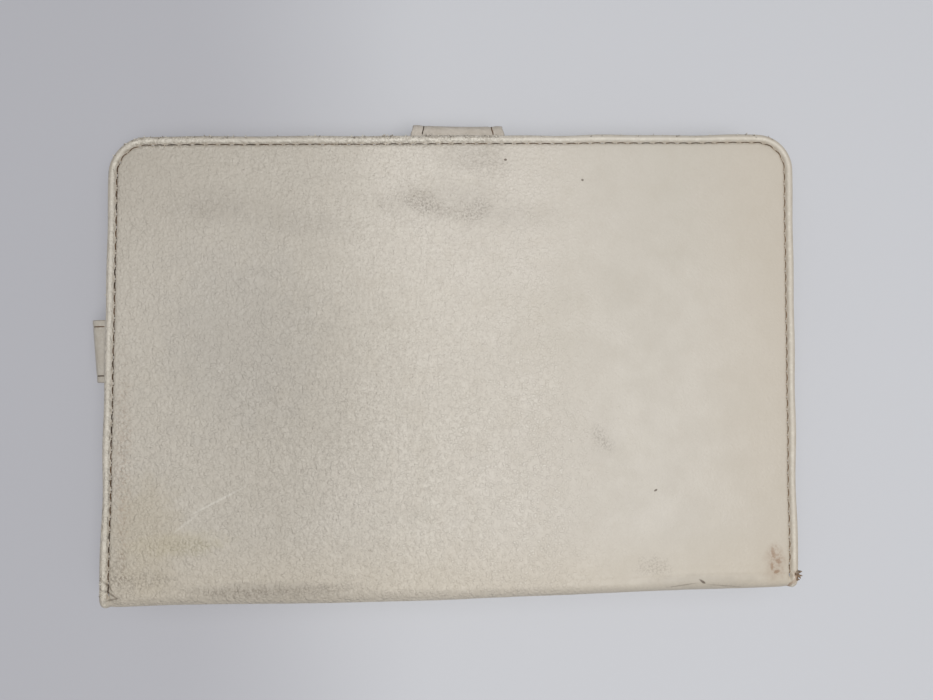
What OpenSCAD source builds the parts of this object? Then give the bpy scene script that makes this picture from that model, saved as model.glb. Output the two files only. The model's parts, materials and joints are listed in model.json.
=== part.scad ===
// Folio case for a 7-inch-class tablet: two padded leather covers on a flexible spine,
// a slide-in tablet sleeve on the back cover, a magnetic closure strap that wraps round
// the long edge, and a small tab that closes the mouth of the sleeve.
// All sizes are millimetres. The closed case lies on its front cover: the origin is the
// centre of the front cover's outer face, +X runs along the spine, +Y points to the
// closure edge and +Z points up to the back cover.

/* [Covers] */
// Length of the covers, along the spine
cover_l = 204; // [180:1:230]
// Width of the closed case, from the spine's outer face to the closure edge
cover_w = 137; // [125:1:160]
// Radius of the two corners at the closure edge
corner_r = 11; // [6:0.5:16]
// Thickness of the outer leather, and radius of its two folds at the spine
leather_t = 1; // [0.8:0.1:1.2]
// Width of the leather folded over at the covers' free edges
turned_edge_w = 1.8; // [1.4:0.1:2]
// Thickness of the foam padding
foam_t = 1.6; // [1.2:0.1:2]
// Thickness of the stiffener boards
board_t = 1.5; // [1.2:0.1:2]
// Thickness of the lining
lining_t = 0.4; // [0.3:0.1:0.6]

/* [Edge stitching] */
// Distance of the seam from the covers' edge
seam_inset = 2.6; // [2.2:0.1:3.5]
// Pitch of the stitches
stitch_pitch = 3.8; // [3:0.1:5]
// Length of thread that shows in one stitch
stitch_l = 2.9; // [2:0.1:3.5]
// Radius of the thread
thread_r = 0.22; // [0.15:0.01:0.3]

/* [Tablet sleeve] */
// Clear height of the sleeve, for the tablet's thickness
bay_h = 9.8; // [8:0.1:12]
// Clear width of the sleeve, across the spine direction
bay_w = 123.4; // [110:0.2:124]
// Length of the screen window
window_l = 156; // [140:1:164]
// Width of the screen window
window_w = 96; // [84:1:104]
// Radius of the window's corners
window_r = 4; // [2:0.5:8]
// Thickness of the leather on the sleeve's frame
frame_leather_t = 0.7; // [0.5:0.1:1]
// Thickness of the board inside the sleeve's frame
frame_board_t = 1.2; // [1:0.1:1.5]
// Thickness of the sleeve's side walls
wall_t = 1.2; // [0.8:0.1:1.5]

/* [Closure strap] */
// Width of the strap
strap_w = 27; // [20:1:34]
// Place of the strap's middle along the closure edge
strap_x = 0.1; // [-20:0.1:20]
// Thickness of the strap, two layers of leather
strap_t = 2; // [1.6:0.1:2.2]
// Length of the strap's end pad, which lies on the front cover
pad_l = 27; // [22:1:32]
// Radius of the magnets in the end pad
magnet_r = 4; // [3:0.1:4.5]

/* [Sleeve tab] */
// Width of the tab over the mouth of the sleeve
tab_w = 18.5; // [14:0.5:24]
// Place of the tab's middle along the short edge
tab_y = 5.8; // [-20:0.1:20]
// Thickness of the tab, two layers of leather
tab_t = 1.6; // [1.2:0.1:1.8]

/* [Hidden] */
$fn = 48;
eps = 0.01;

// Clearances: between bodies that move past each other, and inside one body
run_gap = 0.3;
fit_gap = 0.1;

// Stack of one cover, from its outer face inwards
foam_z = leather_t;
board_z = foam_z + foam_t;
lining_z = board_z + board_t;
cover_t = lining_z + lining_t;

// Stack of the closed case, from the table upwards
sleeve_gap = 0.5;
frame_z = cover_t + sleeve_gap;
frame_board_z = frame_z + frame_leather_t;
frame_liner_z = frame_board_z + frame_board_t;
frame_liner_t = 0.3;
frame_liner_inset = 0.3;
bay_z = frame_liner_z + frame_liner_t;
back_z = bay_z + bay_h;
case_t = back_z + cover_t;

// Outline of the covers
half_l = cover_l / 2;
edge_y = cover_w / 2;
spine_y = -cover_w / 2;

// Folds at the spine: the axes run along X inside the leather's outer face
fold_y = spine_y + leather_t;
front_fold_z = leather_t;
back_fold_z = case_t - leather_t;
spine_board_t = 1.2;
spine_board_inset = 2.4;
spine_in_y = fold_y + spine_board_t + lining_t;
panel_y = spine_in_y + run_gap;
spine_end_z = front_fold_z + leather_t + run_gap;

// Seam groove on the covers
groove_w = 0.8;
groove_d = 0.5;
seam_start_y = panel_y + 2;

// Sleeve frame
mouth_inset = 0.4;
far_inset = 3.5;
mouth_x = -half_l + mouth_inset;
far_x = half_l - far_inset;
frame_half_w = bay_w / 2 + 2;
frame_r = 5;
frame_edge_t = 0.8;
frame_seam_d = 0.4;
frame_seam_inset = 2.5;
frame_stitch_z = frame_z + frame_seam_d - thread_r;
wall_start_x = mouth_x + 3;
wall_end_x = far_x - 1.5;

// Closure strap: it leaves the back cover's edge, bends down and crosses the edge gap
strap_roll_r = strap_t / 2;
strap_axis_y = edge_y + run_gap + strap_roll_r;
strap_drop = 3;
strap_axis_z = case_t - strap_drop;
strap_bend_z = strap_axis_z - strap_roll_r;
strap_half_t = strap_t / 2;
strap_reach = 0.9;
strap_outer_y = strap_axis_y + strap_reach + strap_t;
strap_end_axis_y = strap_axis_y + strap_reach + strap_half_t;
strap_end_axis_z = strap_half_t;
strap_low_z = strap_t + run_gap;
strap_seam_inset = 4;
strap_tail_l = 18;
strap_tail_t = 1;
strap_tail_z = case_t - board_z;

// Seat of the strap's end pad in the front cover, and the magnets that hold it
seat_gap = 0.5;
seat_d = strap_t + run_gap;
seat_wall_t = 0.8;
pad_tip_y = strap_end_axis_y - pad_l;
pad_r = 5;
pad_seam_inset = 2.4;
pad_seam_stop = 3;
pad_stitch_l = 2.4;
magnet_t = 1;
magnet_gap = 0.2;
magnet_spacing = 12;
magnet_z = strap_half_t - magnet_t / 2;
magnet_y = pad_tip_y + 9;
plate_l = 26;
plate_w = 18;

// Sleeve tab: it hangs from the back cover over the mouth of the sleeve
tab_out = 1.1;
tab_under = 0.2;
tab_roll_r = tab_t / 2;
tab_axis_x = -half_l - tab_out;
tab_axis_z = back_z - tab_under - tab_roll_r;
tab_bend_z = tab_axis_z - tab_roll_r;
tab_low_z = 3.6;
tab_reach = 2.3;
tab_end_reach = -0.3;
tab_stitch_out = 1.15 * thread_r;
tab_tail_l = 10;
tab_tail_t = 0.8;
tab_seam_side = 2;
tab_seam_z = [tab_low_z + 2, tab_low_z + 6];
patch_t = 0.5;
patch_w = 14;
hook_patch_h = 4;
hook_patch_z = tab_low_z + 0.8;
loop_patch_margin = 0.1;

// Colours
ivory = [0.80, 0.77, 0.71];
ivory_dark = [0.70, 0.67, 0.61];
brown_thread = [0.42, 0.30, 0.20];
foam_grey = [0.55, 0.55, 0.56];
board_brown = [0.62, 0.50, 0.36];
suede_beige = [0.66, 0.60, 0.52];
steel = [0.62, 0.64, 0.66];
magnet_silver = [0.75, 0.76, 0.78];
hook_white = [0.86, 0.85, 0.82];

// Outline of a cover, moved inwards by inset, from y_low to the closure edge
module cover_outline(inset, y_low) {
    half = half_l - inset;
    top = edge_y - inset;
    r = corner_r - inset;
    translate([-half, y_low]) square([2 * half, top - r - y_low]);
    translate([-half + r, y_low]) square([2 * (half - r), top - y_low]);
    for (side = [-1, 1])
        translate([side * (half - r), top - r]) circle(r);
}

// Rectangle with four rounded corners between two opposite corner points
module rounded_rect(low, high, r) {
    translate([low.x + r, low.y]) square([high.x - low.x - 2 * r, high.y - low.y]);
    translate([low.x, low.y + r]) square([high.x - low.x, high.y - low.y - 2 * r]);
    for (x = [low.x + r, high.x - r], y = [low.y + r, high.y - r])
        translate([x, y]) circle(r);
}

// Turns a cover from lying on the table to being the upper cover
module as_back_cover() {
    translate([0, 0, case_t]) mirror([0, 0, 1]) children();
}

// Extrudes a profile drawn in the Y-Z plane along X, centred on x
module extrude_x(x, width) {
    translate([x - width / 2, 0, 0]) rotate([90, 0, 90]) linear_extrude(width) children();
}

// One stitch of thread lying along X
module stitch(length) {
    rotate([0, 90, 0]) cylinder(r = thread_r, h = length, center = true, $fn = 16);
}

// Evenly spaced stitches from one point to another in the X-Y plane
module stitch_row(from, to, z) {
    span = norm(to - from);
    count = round(span / stitch_pitch);
    heading = atan2(to.y - from.y, to.x - from.x);
    for (i = [0 : count - 1]) {
        place = from + (to - from) * (i + 0.5) / count;
        translate([place.x, place.y, z]) rotate(heading) stitch(stitch_l);
    }
}

// Place and heading at distance s along a U of two sides, two arcs and a top.
// u = [half width, y of the sides' start, length of a side, corner radius]
function u_arc(u) = u[3] * PI / 2;
function u_top(u) = 2 * (u[0] - u[3]);
function u_length(u) = 2 * u[2] + 2 * u_arc(u) + u_top(u);
function u_place(u, s) =
    s < u[2] ? [-u[0], u[1] + s, 90]
    : s < u[2] + u_arc(u) ? u_left_corner(u, (s - u[2]) / u[3] * 180 / PI)
    : s < u[2] + u_arc(u) + u_top(u) ? [-u[0] + u[3] + s - u[2] - u_arc(u), u[1] + u[2] + u[3], 0]
    : s < u[2] + 2 * u_arc(u) + u_top(u)
        ? u_right_corner(u, (s - u[2] - u_arc(u) - u_top(u)) / u[3] * 180 / PI)
    : [u[0], u[1] + u_length(u) - s, -90];
function u_left_corner(u, a) =
    [-u[0] + u[3] * (1 - cos(a)), u[1] + u[2] + u[3] * sin(a), 90 - a];
function u_right_corner(u, a) =
    [u[0] - u[3] * (1 - sin(a)), u[1] + u[2] + u[3] * cos(a), -a];

// Stitches round such a U
module stitch_u(u, z, length) {
    count = round(u_length(u) / stitch_pitch);
    for (i = [0 : count - 1]) {
        place = u_place(u, (i + 0.5) * u_length(u) / count);
        translate([place.x, place.y, z]) rotate(place.z) stitch(length);
    }
}

// Groove for the seam along the three free edges of a cover
module seam_groove() {
    translate([0, 0, -eps]) linear_extrude(groove_d + eps) difference() {
        cover_outline(seam_inset - groove_w / 2, seam_start_y);
        cover_outline(seam_inset + groove_w / 2, seam_start_y - 1);
    }
}

// Outer leather of a cover: face, turned edges on three sides, and the fold's roll
module cover_skin() {
    difference() {
        linear_extrude(cover_t) cover_outline(0, panel_y);
        translate([0, 0, leather_t])
            linear_extrude(cover_t) cover_outline(turned_edge_w, panel_y - 1);
        seam_groove();
    }
    translate([-half_l, fold_y, 0]) cube([cover_l, panel_y - fold_y, leather_t]);
    translate([0, fold_y, front_fold_z]) rotate([0, 90, 0])
        cylinder(r = leather_t, h = cover_l, center = true);
}

// One flat layer inside a cover's turned edges
module cover_layer(z, thickness) {
    translate([0, 0, z])
        linear_extrude(thickness) cover_outline(turned_edge_w + fit_gap, panel_y);
}

module cover_seam() {
    side = edge_y - corner_r - seam_start_y;
    u = [half_l - seam_inset, seam_start_y, side, corner_r - seam_inset];
    stitch_u(u, groove_d - thread_r, stitch_l);
}

// Space of the seat that is pressed into the front cover for the strap's end pad
module strap_seat(grow, depth) {
    width = strap_w + 2 * (seat_gap + grow);
    low_y = pad_tip_y - seat_gap - grow;
    translate([strap_x - width / 2, low_y, -eps])
        cube([width, edge_y + 1 - low_y, depth + eps]);
}

module front_outer_leather() {
    color(ivory) difference() {
        union() {
            cover_skin();
            intersection() {
                linear_extrude(cover_t) cover_outline(0, panel_y);
                strap_seat(seat_wall_t, seat_d + seat_wall_t);
            }
        }
        strap_seat(0, seat_d);
    }
}

module front_foam_padding() {
    color(foam_grey) difference() {
        cover_layer(foam_z, foam_t);
        strap_seat(seat_wall_t + fit_gap, cover_t);
    }
}

module front_stiffener_board() {
    color(board_brown) difference() {
        cover_layer(board_z, board_t);
        strap_seat(seat_wall_t + fit_gap, cover_t);
    }
}

module front_lining() {
    color(suede_beige) cover_layer(lining_z, lining_t);
}

module front_edge_stitching() {
    color(brown_thread) difference() {
        cover_seam();
        strap_seat(seat_wall_t, cover_t);
    }
}

// Steel plate in the front cover, above the seat, that the strap's magnets hold on to
module latch_steel_plate() {
    color(steel) translate([strap_x - plate_l / 2, magnet_y - plate_w / 2, seat_d + seat_wall_t])
        cube([plate_l, plate_w, lining_z - seat_d - seat_wall_t]);
}

// One flat layer of the spine at depth y, shorter than the leather at its ends and sides
module spine_layer(y, thickness, end_inset, side_inset) {
    low_z = spine_end_z + side_inset;
    translate([-half_l + end_inset, y, low_z])
        cube([cover_l - 2 * end_inset, thickness, case_t - 2 * low_z]);
}

module spine_outer_leather() {
    color(ivory) spine_layer(spine_y, leather_t, 0, 0);
}

module spine_stiffener_board() {
    color(board_brown)
        spine_layer(fold_y, spine_board_t, spine_board_inset, spine_board_inset / 4);
}

module spine_lining() {
    color(suede_beige) spine_layer(fold_y + spine_board_t, lining_t, turned_edge_w, 0);
}

// Slot in the back cover's turned edge, where the strap's root passes
module strap_root_slot(gap) {
    translate([strap_x - strap_w / 2 - gap, edge_y - strap_tail_l - gap, strap_tail_z])
        cube([strap_w + 2 * gap, strap_tail_l + 1, strap_tail_t + gap]);
}

module back_outer_leather() {
    color(ivory) difference() {
        as_back_cover() cover_skin();
        strap_root_slot(fit_gap);
    }
}

module back_foam_padding() {
    color(foam_grey) difference() {
        as_back_cover() cover_layer(foam_z, foam_t);
        strap_root_slot(fit_gap);
    }
}

module back_stiffener_board() {
    color(board_brown) as_back_cover() cover_layer(board_z, board_t);
}

module back_lining() {
    color(suede_beige) as_back_cover() cover_layer(lining_z, lining_t);
}

module back_edge_stitching() {
    color(brown_thread) as_back_cover() cover_seam();
}

// Root of the closure strap, glued on the board inside the back cover
module strap_root_tail() {
    color(ivory_dark) translate([strap_x - strap_w / 2, edge_y - strap_tail_l, strap_tail_z])
        cube([strap_w, strap_tail_l, strap_tail_t]);
}

// Root of the sleeve tab, glued to the back cover's lining just inside the mouth
module sleeve_tab_root_tail() {
    color(ivory_dark) translate([-half_l + run_gap, tab_y - tab_w / 2, back_z - tab_tail_t])
        cube([tab_tail_l, tab_w, tab_tail_t]);
}

module frame_outline(inset) {
    rounded_rect([mouth_x + inset, -frame_half_w + inset],
                 [far_x - inset, frame_half_w - inset], frame_r - inset);
}

module window_outline(grow) {
    rounded_rect([-window_l / 2 - grow, -window_w / 2 - grow],
                 [window_l / 2 + grow, window_w / 2 + grow], window_r + grow);
}

// Leather of the sleeve's frame, with its edges turned over the board
module sleeve_frame_leather() {
    color(ivory) difference() {
        translate([0, 0, frame_z]) linear_extrude(frame_leather_t + frame_board_t)
            difference() {
                frame_outline(0);
                window_outline(0);
            }
        translate([0, 0, frame_board_z]) linear_extrude(frame_board_t + 1)
            difference() {
                frame_outline(frame_edge_t);
                window_outline(frame_edge_t);
            }
        frame_seam_grooves();
    }
}

// Grooves for the two seams on the frame's face, round the window and round the outside
module frame_seam_grooves() {
    near = frame_seam_inset - groove_w / 2;
    far = frame_seam_inset + groove_w / 2;
    translate([0, 0, frame_z - eps]) linear_extrude(frame_seam_d + eps) {
        difference() {
            window_outline(far);
            window_outline(near);
        }
        difference() {
            frame_outline(near);
            frame_outline(far);
        }
    }
}

module sleeve_frame_board() {
    color(board_brown) translate([0, 0, frame_board_z]) linear_extrude(frame_board_t)
        difference() {
            frame_outline(frame_edge_t + fit_gap);
            window_outline(frame_edge_t + fit_gap);
        }
}

module sleeve_frame_liner() {
    color(suede_beige) translate([0, 0, frame_liner_z]) linear_extrude(frame_liner_t)
        difference() {
            frame_outline(frame_liner_inset);
            window_outline(frame_liner_inset);
        }
}

// Four straight rows of stitches round a rectangle, clear of its corners by r
module stitch_rect(low, high, r, z) {
    for (y = [low.y, high.y])
        stitch_row([low.x + r, y], [high.x - r, y], z);
    for (x = [low.x, high.x])
        stitch_row([x, low.y + r], [x, high.y - r], z);
}

module sleeve_window_stitching() {
    half = [window_l / 2 + frame_seam_inset, window_w / 2 + frame_seam_inset];
    color(brown_thread)
        stitch_rect(-half, half, window_r + frame_seam_inset, frame_stitch_z);
}

module sleeve_outer_stitching() {
    low = [mouth_x + frame_seam_inset, -frame_half_w + frame_seam_inset];
    high = [far_x - frame_seam_inset, frame_half_w - frame_seam_inset];
    color(brown_thread) stitch_rect(low, high, frame_r - frame_seam_inset, frame_stitch_z);
}

module side_wall(y) {
    translate([wall_start_x, y, bay_z]) cube([wall_end_x - wall_start_x, wall_t, bay_h]);
}

module sleeve_wall_closure_side() {
    color(ivory_dark) side_wall(bay_w / 2);
}

module sleeve_wall_spine_side() {
    color(ivory_dark) side_wall(-bay_w / 2 - wall_t);
}

module sleeve_wall_far_end() {
    color(ivory_dark) translate([wall_end_x - wall_t, -bay_w / 2 + fit_gap, bay_z])
        cube([wall_t, bay_w - 2 * fit_gap, bay_h]);
}

// Loop strip on the frame's edge at the mouth, which the tab's hooks hold on to
module sleeve_loop_patch() {
    color(hook_white)
        translate([mouth_x - patch_t, tab_y - patch_w / 2, frame_z + loop_patch_margin])
            cube([patch_t, patch_w, frame_liner_z - frame_z - 2 * loop_patch_margin]);
}

// Profile of a strap that leaves an edge at [y, z], runs out by reach and bends down with
// a quarter turn; from and to are depths inside its thickness
module bend_profile(y, z, reach, from, to) {
    translate([y, z + from]) square([reach, to - from]);
    translate([y + reach, z]) intersection() {
        difference() {
            circle(to);
            if (from > 0) circle(from);
        }
        square(to + 1);
    }
}

// Profile of one layer of the closure strap, from its bend down to its end pad
module strap_profile(from, to) {
    bend_profile(strap_axis_y, strap_bend_z, strap_reach, from, to);
    translate([strap_axis_y + strap_reach + from, strap_low_z])
        square([to - from, strap_bend_z - strap_low_z]);
}

// Rounded root of a strap, a half disc behind its hinge axis at [y, z]
module root_profile(y, z, r) {
    intersection() {
        translate([y, z]) circle(r);
        translate([y - r - 1, z - r - 1]) square([r + 1, 2 * r + 2]);
    }
}

module strap_outer_leather() {
    color(ivory) difference() {
        extrude_x(strap_x, strap_w) {
            strap_profile(strap_half_t, strap_t);
            root_profile(strap_axis_y, strap_axis_z, strap_roll_r);
        }
        for (side = [-1, 1])
            translate([strap_x + side * (strap_w / 2 - strap_seam_inset) - groove_w / 2,
                       strap_outer_y - groove_d, strap_low_z - 1])
                cube([groove_w, 1, strap_bend_z - strap_low_z + 1]);
    }
}

module strap_inner_leather() {
    color(ivory_dark) extrude_x(strap_x, strap_w) strap_profile(0, strap_half_t);
}

module strap_stitching() {
    span = strap_bend_z - strap_low_z;
    count = round(span / stitch_pitch);
    y = strap_outer_y - groove_d + thread_r;
    color(brown_thread)
        for (side = [-1, 1], i = [0 : count - 1])
            translate([strap_x + side * (strap_w / 2 - strap_seam_inset), y,
                       strap_low_z + (i + 0.5) * span / count])
                rotate([0, 90, 0]) stitch(stitch_l);
}

// Outline of the strap's end pad, moved inwards by inset
module pad_outline(inset) {
    half = strap_w / 2 - inset;
    r = pad_r - inset;
    translate([strap_x, pad_tip_y + inset]) {
        translate([-half, r]) square([2 * half, pad_l - inset - r]);
        translate([-half + r, 0]) square([2 * (half - r), r + 1]);
        for (side = [-1, 1]) translate([side * (half - r), r]) circle(r);
    }
}

module magnet_row(r, z, thickness) {
    for (side = [-1, 1])
        translate([strap_x + side * magnet_spacing / 2, magnet_y, z])
            cylinder(r = r, h = thickness);
}

module pad_seam_groove() {
    translate([0, 0, -eps]) linear_extrude(groove_d + eps) intersection() {
        difference() {
            pad_outline(pad_seam_inset - groove_w / 2);
            pad_outline(pad_seam_inset + groove_w / 2);
        }
        translate([strap_x - strap_w, pad_tip_y])
            square([2 * strap_w, pad_l - pad_seam_stop + 1]);
    }
}

module strap_end_outer_leather() {
    color(ivory) {
        difference() {
            linear_extrude(strap_half_t) pad_outline(0);
            pad_seam_groove();
            magnet_row(magnet_r + magnet_gap, magnet_z, magnet_t);
        }
        extrude_x(strap_x, strap_w) mirror([1, 0])
            root_profile(-strap_end_axis_y, strap_end_axis_z, strap_half_t);
    }
}

module strap_end_inner_leather() {
    color(ivory_dark) difference() {
        translate([0, 0, strap_half_t]) linear_extrude(strap_half_t) pad_outline(0);
        magnet_row(magnet_r + magnet_gap, magnet_z, magnet_t);
    }
}

module strap_end_magnets() {
    color(magnet_silver) magnet_row(magnet_r, magnet_z, magnet_t);
}

module strap_end_stitching() {
    r = pad_r - pad_seam_inset;
    side = pad_l - pad_seam_inset - r - pad_seam_stop;
    u = [strap_w / 2 - pad_seam_inset, 0, side, r];
    color(brown_thread)
        translate([strap_x, pad_tip_y + pad_seam_inset + r + side, 0]) mirror([0, 1, 0])
            stitch_u(u, groove_d - thread_r, pad_stitch_l);
}

// Turns a strap profile that hangs at the closure edge to the mouth's edge
module at_mouth() {
    rotate([0, 0, 90]) children();
}

// How far the tab's inner face is beyond its hinge axis at height z
function tab_reach_at(z) =
    tab_end_reach + (tab_reach - tab_end_reach) * (z - tab_low_z) / (tab_bend_z - tab_low_z);

// Slanting stretch of one layer of the tab between two heights
module tab_strip(from, to, low_z, high_z) {
    low_y = -tab_axis_x + tab_reach_at(low_z);
    high_y = -tab_axis_x + tab_reach_at(high_z);
    polygon([[low_y + from, low_z], [low_y + to, low_z],
             [high_y + to, high_z], [high_y + from, high_z]]);
}

// Profile of one layer of the tab, from its bend down to its end
module tab_profile(from, to) {
    bend_profile(-tab_axis_x, tab_bend_z, tab_reach, from, to);
    tab_strip(from, to, tab_low_z, tab_bend_z);
}

module sleeve_tab_leather() {
    color(ivory_dark) at_mouth() extrude_x(tab_y, tab_w) {
        tab_profile(tab_t / 2, tab_t);
        root_profile(-tab_axis_x, tab_axis_z, tab_roll_r);
    }
}

module sleeve_tab_backing() {
    color(suede_beige) at_mouth() extrude_x(tab_y, tab_w) tab_profile(0, tab_t / 2);
}

module sleeve_tab_hook_patch() {
    color(hook_white) at_mouth() extrude_x(tab_y, patch_w)
        tab_strip(-patch_t, 0, hook_patch_z, hook_patch_z + hook_patch_h);
}

module sleeve_tab_stitching() {
    half = tab_w / 2 - tab_seam_side;
    color(brown_thread)
        for (z = tab_seam_z) {
            x = tab_axis_x - tab_t - tab_reach_at(z) - tab_stitch_out;
            stitch_row([x, tab_y - half], [x, tab_y + half], z);
        }
}

front_outer_leather();
front_foam_padding();
front_stiffener_board();
front_lining();
front_edge_stitching();
latch_steel_plate();
spine_outer_leather();
spine_stiffener_board();
spine_lining();
back_outer_leather();
back_foam_padding();
back_stiffener_board();
back_lining();
back_edge_stitching();
strap_root_tail();
sleeve_tab_root_tail();
sleeve_frame_leather();
sleeve_frame_board();
sleeve_frame_liner();
sleeve_window_stitching();
sleeve_outer_stitching();
sleeve_wall_closure_side();
sleeve_wall_spine_side();
sleeve_wall_far_end();
sleeve_loop_patch();
strap_outer_leather();
strap_inner_leather();
strap_stitching();
strap_end_outer_leather();
strap_end_inner_leather();
strap_end_magnets();
strap_end_stitching();
sleeve_tab_leather();
sleeve_tab_backing();
sleeve_tab_hook_patch();
sleeve_tab_stitching();
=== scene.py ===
import json
import math

import bmesh
import bpy
import numpy as np
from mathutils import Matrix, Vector


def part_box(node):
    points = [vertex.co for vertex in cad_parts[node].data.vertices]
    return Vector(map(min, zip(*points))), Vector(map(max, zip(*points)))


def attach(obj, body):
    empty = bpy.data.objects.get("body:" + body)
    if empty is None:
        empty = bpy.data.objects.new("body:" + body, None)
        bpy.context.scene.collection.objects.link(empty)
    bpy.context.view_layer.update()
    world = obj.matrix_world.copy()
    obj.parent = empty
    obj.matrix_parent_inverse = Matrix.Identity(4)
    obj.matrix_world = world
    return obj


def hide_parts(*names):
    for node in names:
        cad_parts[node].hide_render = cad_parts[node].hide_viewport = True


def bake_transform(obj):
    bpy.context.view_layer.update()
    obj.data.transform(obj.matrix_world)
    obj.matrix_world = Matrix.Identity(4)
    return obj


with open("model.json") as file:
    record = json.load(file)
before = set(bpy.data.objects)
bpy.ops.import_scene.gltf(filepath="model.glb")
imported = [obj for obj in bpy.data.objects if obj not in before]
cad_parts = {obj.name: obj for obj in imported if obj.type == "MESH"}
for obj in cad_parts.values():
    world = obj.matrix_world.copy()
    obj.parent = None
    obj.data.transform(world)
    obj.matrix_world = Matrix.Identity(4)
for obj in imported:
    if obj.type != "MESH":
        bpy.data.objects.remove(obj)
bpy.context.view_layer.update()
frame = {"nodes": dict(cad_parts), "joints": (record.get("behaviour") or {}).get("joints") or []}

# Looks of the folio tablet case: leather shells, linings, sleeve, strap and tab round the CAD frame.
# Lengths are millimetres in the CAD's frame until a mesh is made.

MM = 0.001


def box_mm(node):
    """Lowest and highest corner of a node, in millimetres."""
    low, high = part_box(node)
    return np.array(low) / MM, np.array(high) / MM


def joint_place(name):
    """Where a joint's axis passes, in millimetres."""
    return np.array(next(j for j in frame["joints"] if j["name"] == name)["pos_m"]) / MM


# ---------------------------------------------------------------- sizes from the frame
BACK_LOW, BACK_HIGH = box_mm("back_outer_leather")
HALF_L, EDGE_Y, CASE_T = BACK_HIGH
BACK_Z = BACK_LOW[2]
COVER_T = CASE_T - BACK_Z
SPINE_Y = box_mm("spine_outer_leather")[0][1]
SPINE_IN_Y = box_mm("spine_lining")[1][1]
FRAME_LOW, FRAME_HIGH = box_mm("sleeve_frame_leather")
LINER_TOP = box_mm("sleeve_frame_liner")[1][2]
WALL_LOW, WALL_HIGH = box_mm("sleeve_wall_closure_side")
END_WALL_LOW, END_WALL_HIGH = box_mm("sleeve_wall_far_end")
STRAP_LOW, STRAP_HIGH = box_mm("strap_outer_leather")
PAD_LOW, PAD_HIGH = box_mm("strap_end_outer_leather")
TAB_LOW, TAB_HIGH = box_mm("sleeve_tab_leather")
STRAP_AXIS = joint_place("strap_swing")
STRAP_END_AXIS = joint_place("strap_end_fold")
TAB_AXIS = joint_place("sleeve_tab_swing")

# ---------------------------------------------------------------- sizes of the soft shapes
CORNER_R = 11.0        # corners at the closure edge
FOLD_R = 3.4           # rounded folds of the spine, seen from outside
SEAM_INSET = 2.6       # seam's distance from the edge
STITCH_PITCH = 3.8
LEATHER_T = 0.7        # the visible skin, thinner than the CAD's so that it can dip at the seams
LINING_T = 0.35
SKEW_X = 0.0106        # the worn case leans a little: x grows with y
SKEW_Y = 0.0106        # and y grows with x

# v is the distance along a cover's outer face from the closure edge, and on round the spine.
FLAT_V = EDGE_Y - (SPINE_Y + FOLD_R)                    # the flat face ends
ARC_V = FOLD_R * math.pi / 2                            # length of the fold
MID_V = FLAT_V + ARC_V + CASE_T / 2 - FOLD_R            # the middle of the spine
SEAM_END_V = FLAT_V - 0.4
INNER_LEAD = 2.0       # the inner corner at the spine starts this far before the outer one
BLEACHED_X = HALF_L - 4.0      # the sewing beyond this is faded


# ---------------------------------------------------------------- small helpers
def smooth(low, high, value):
    """0 before low, 1 after high, and smooth between; low may be the larger one."""
    t = np.clip((value - low) / (high - low), 0, 1)
    return t * t * (3 - 2 * t)


def bell(value, centre, width):
    return np.exp(-(((value - centre) / width) ** 2))


def waves(x, y, size, seed, count=8):
    """Smooth random relief of about -1 to 1, whose bumps are about size across."""
    random = np.random.RandomState(seed)
    total = 0
    for _ in range(count):
        angle, phase = random.uniform(0, 2 * math.pi, 2)
        k = 2 * math.pi / (size * random.uniform(0.7, 1.6))
        total = total + np.cos(k * (x * math.cos(angle) + y * math.sin(angle)) + phase)
    return total / (0.5 * count)


def grid_faces(rows, columns, first=0, wrap=False):
    """Four-cornered faces between the points of a grid, whose first point has the number first."""
    faces = []
    for i in range(rows - 1):
        for j in range(columns if wrap else columns - 1):
            a, b = i * columns + j, i * columns + (j + 1) % columns
            faces.append((first + a, first + b, first + b + columns, first + a + columns))
    return faces


def make_piece(name, points, faces, attributes=None, merge=1e-4):
    """A mesh piece from points in millimetres, which remembers where each point rests."""
    points = np.asarray(points, float).reshape(-1, 3)
    mesh = bpy.data.meshes.new(name)
    mesh.from_pydata((points * MM).tolist(), [], [list(map(int, f)) for f in faces])
    for key, values in (attributes or {}).items():
        layer = mesh.attributes.new(key, "FLOAT", "POINT")
        layer.data.foreach_set("value", np.asarray(values, np.float32).ravel())
    work = bmesh.new()
    work.from_mesh(mesh)
    bmesh.ops.remove_doubles(work, verts=work.verts, dist=merge * MM)
    bmesh.ops.recalc_face_normals(work, faces=work.faces)
    work.to_mesh(mesh)
    work.free()
    piece = bpy.data.objects.new(name, mesh)
    bpy.context.scene.collection.objects.link(piece)
    finish_mesh(piece)
    return piece


def finish_mesh(piece):
    """Smooth shading, and the rest attribute that the materials take their place from."""
    mesh = piece.data
    mesh.polygons.foreach_set("use_smooth", [True] * len(mesh.polygons))
    rest = mesh.attributes.get("rest") or mesh.attributes.new("rest", "FLOAT_VECTOR", "POINT")
    places = np.zeros(len(mesh.vertices) * 3, np.float32)
    mesh.vertices.foreach_get("co", places)
    rest.data.foreach_set("vector", places / MM)


def face_outwards(piece, probe, direction):
    """Turns the piece's faces over if the face nearest to probe doesn't look along direction."""
    mesh = piece.data
    nearest = min(mesh.polygons, key=lambda p: (p.center / MM - Vector(probe)).length)
    if nearest.normal.dot(Vector(direction)) < 0:
        mesh.flip_normals()


def apply_modifiers(piece):
    graph = bpy.context.evaluated_depsgraph_get()
    made = bpy.data.meshes.new_from_object(piece.evaluated_get(graph))
    piece.modifiers.clear()
    piece.data = made
    finish_mesh(piece)


def thicken(piece, thickness):
    """Gives an open skin its thickness, on the side away from its normals."""
    solid = piece.modifiers.new("thickness", "SOLIDIFY")
    solid.thickness = thickness * MM
    solid.offset = -1
    apply_modifiers(piece)


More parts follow.
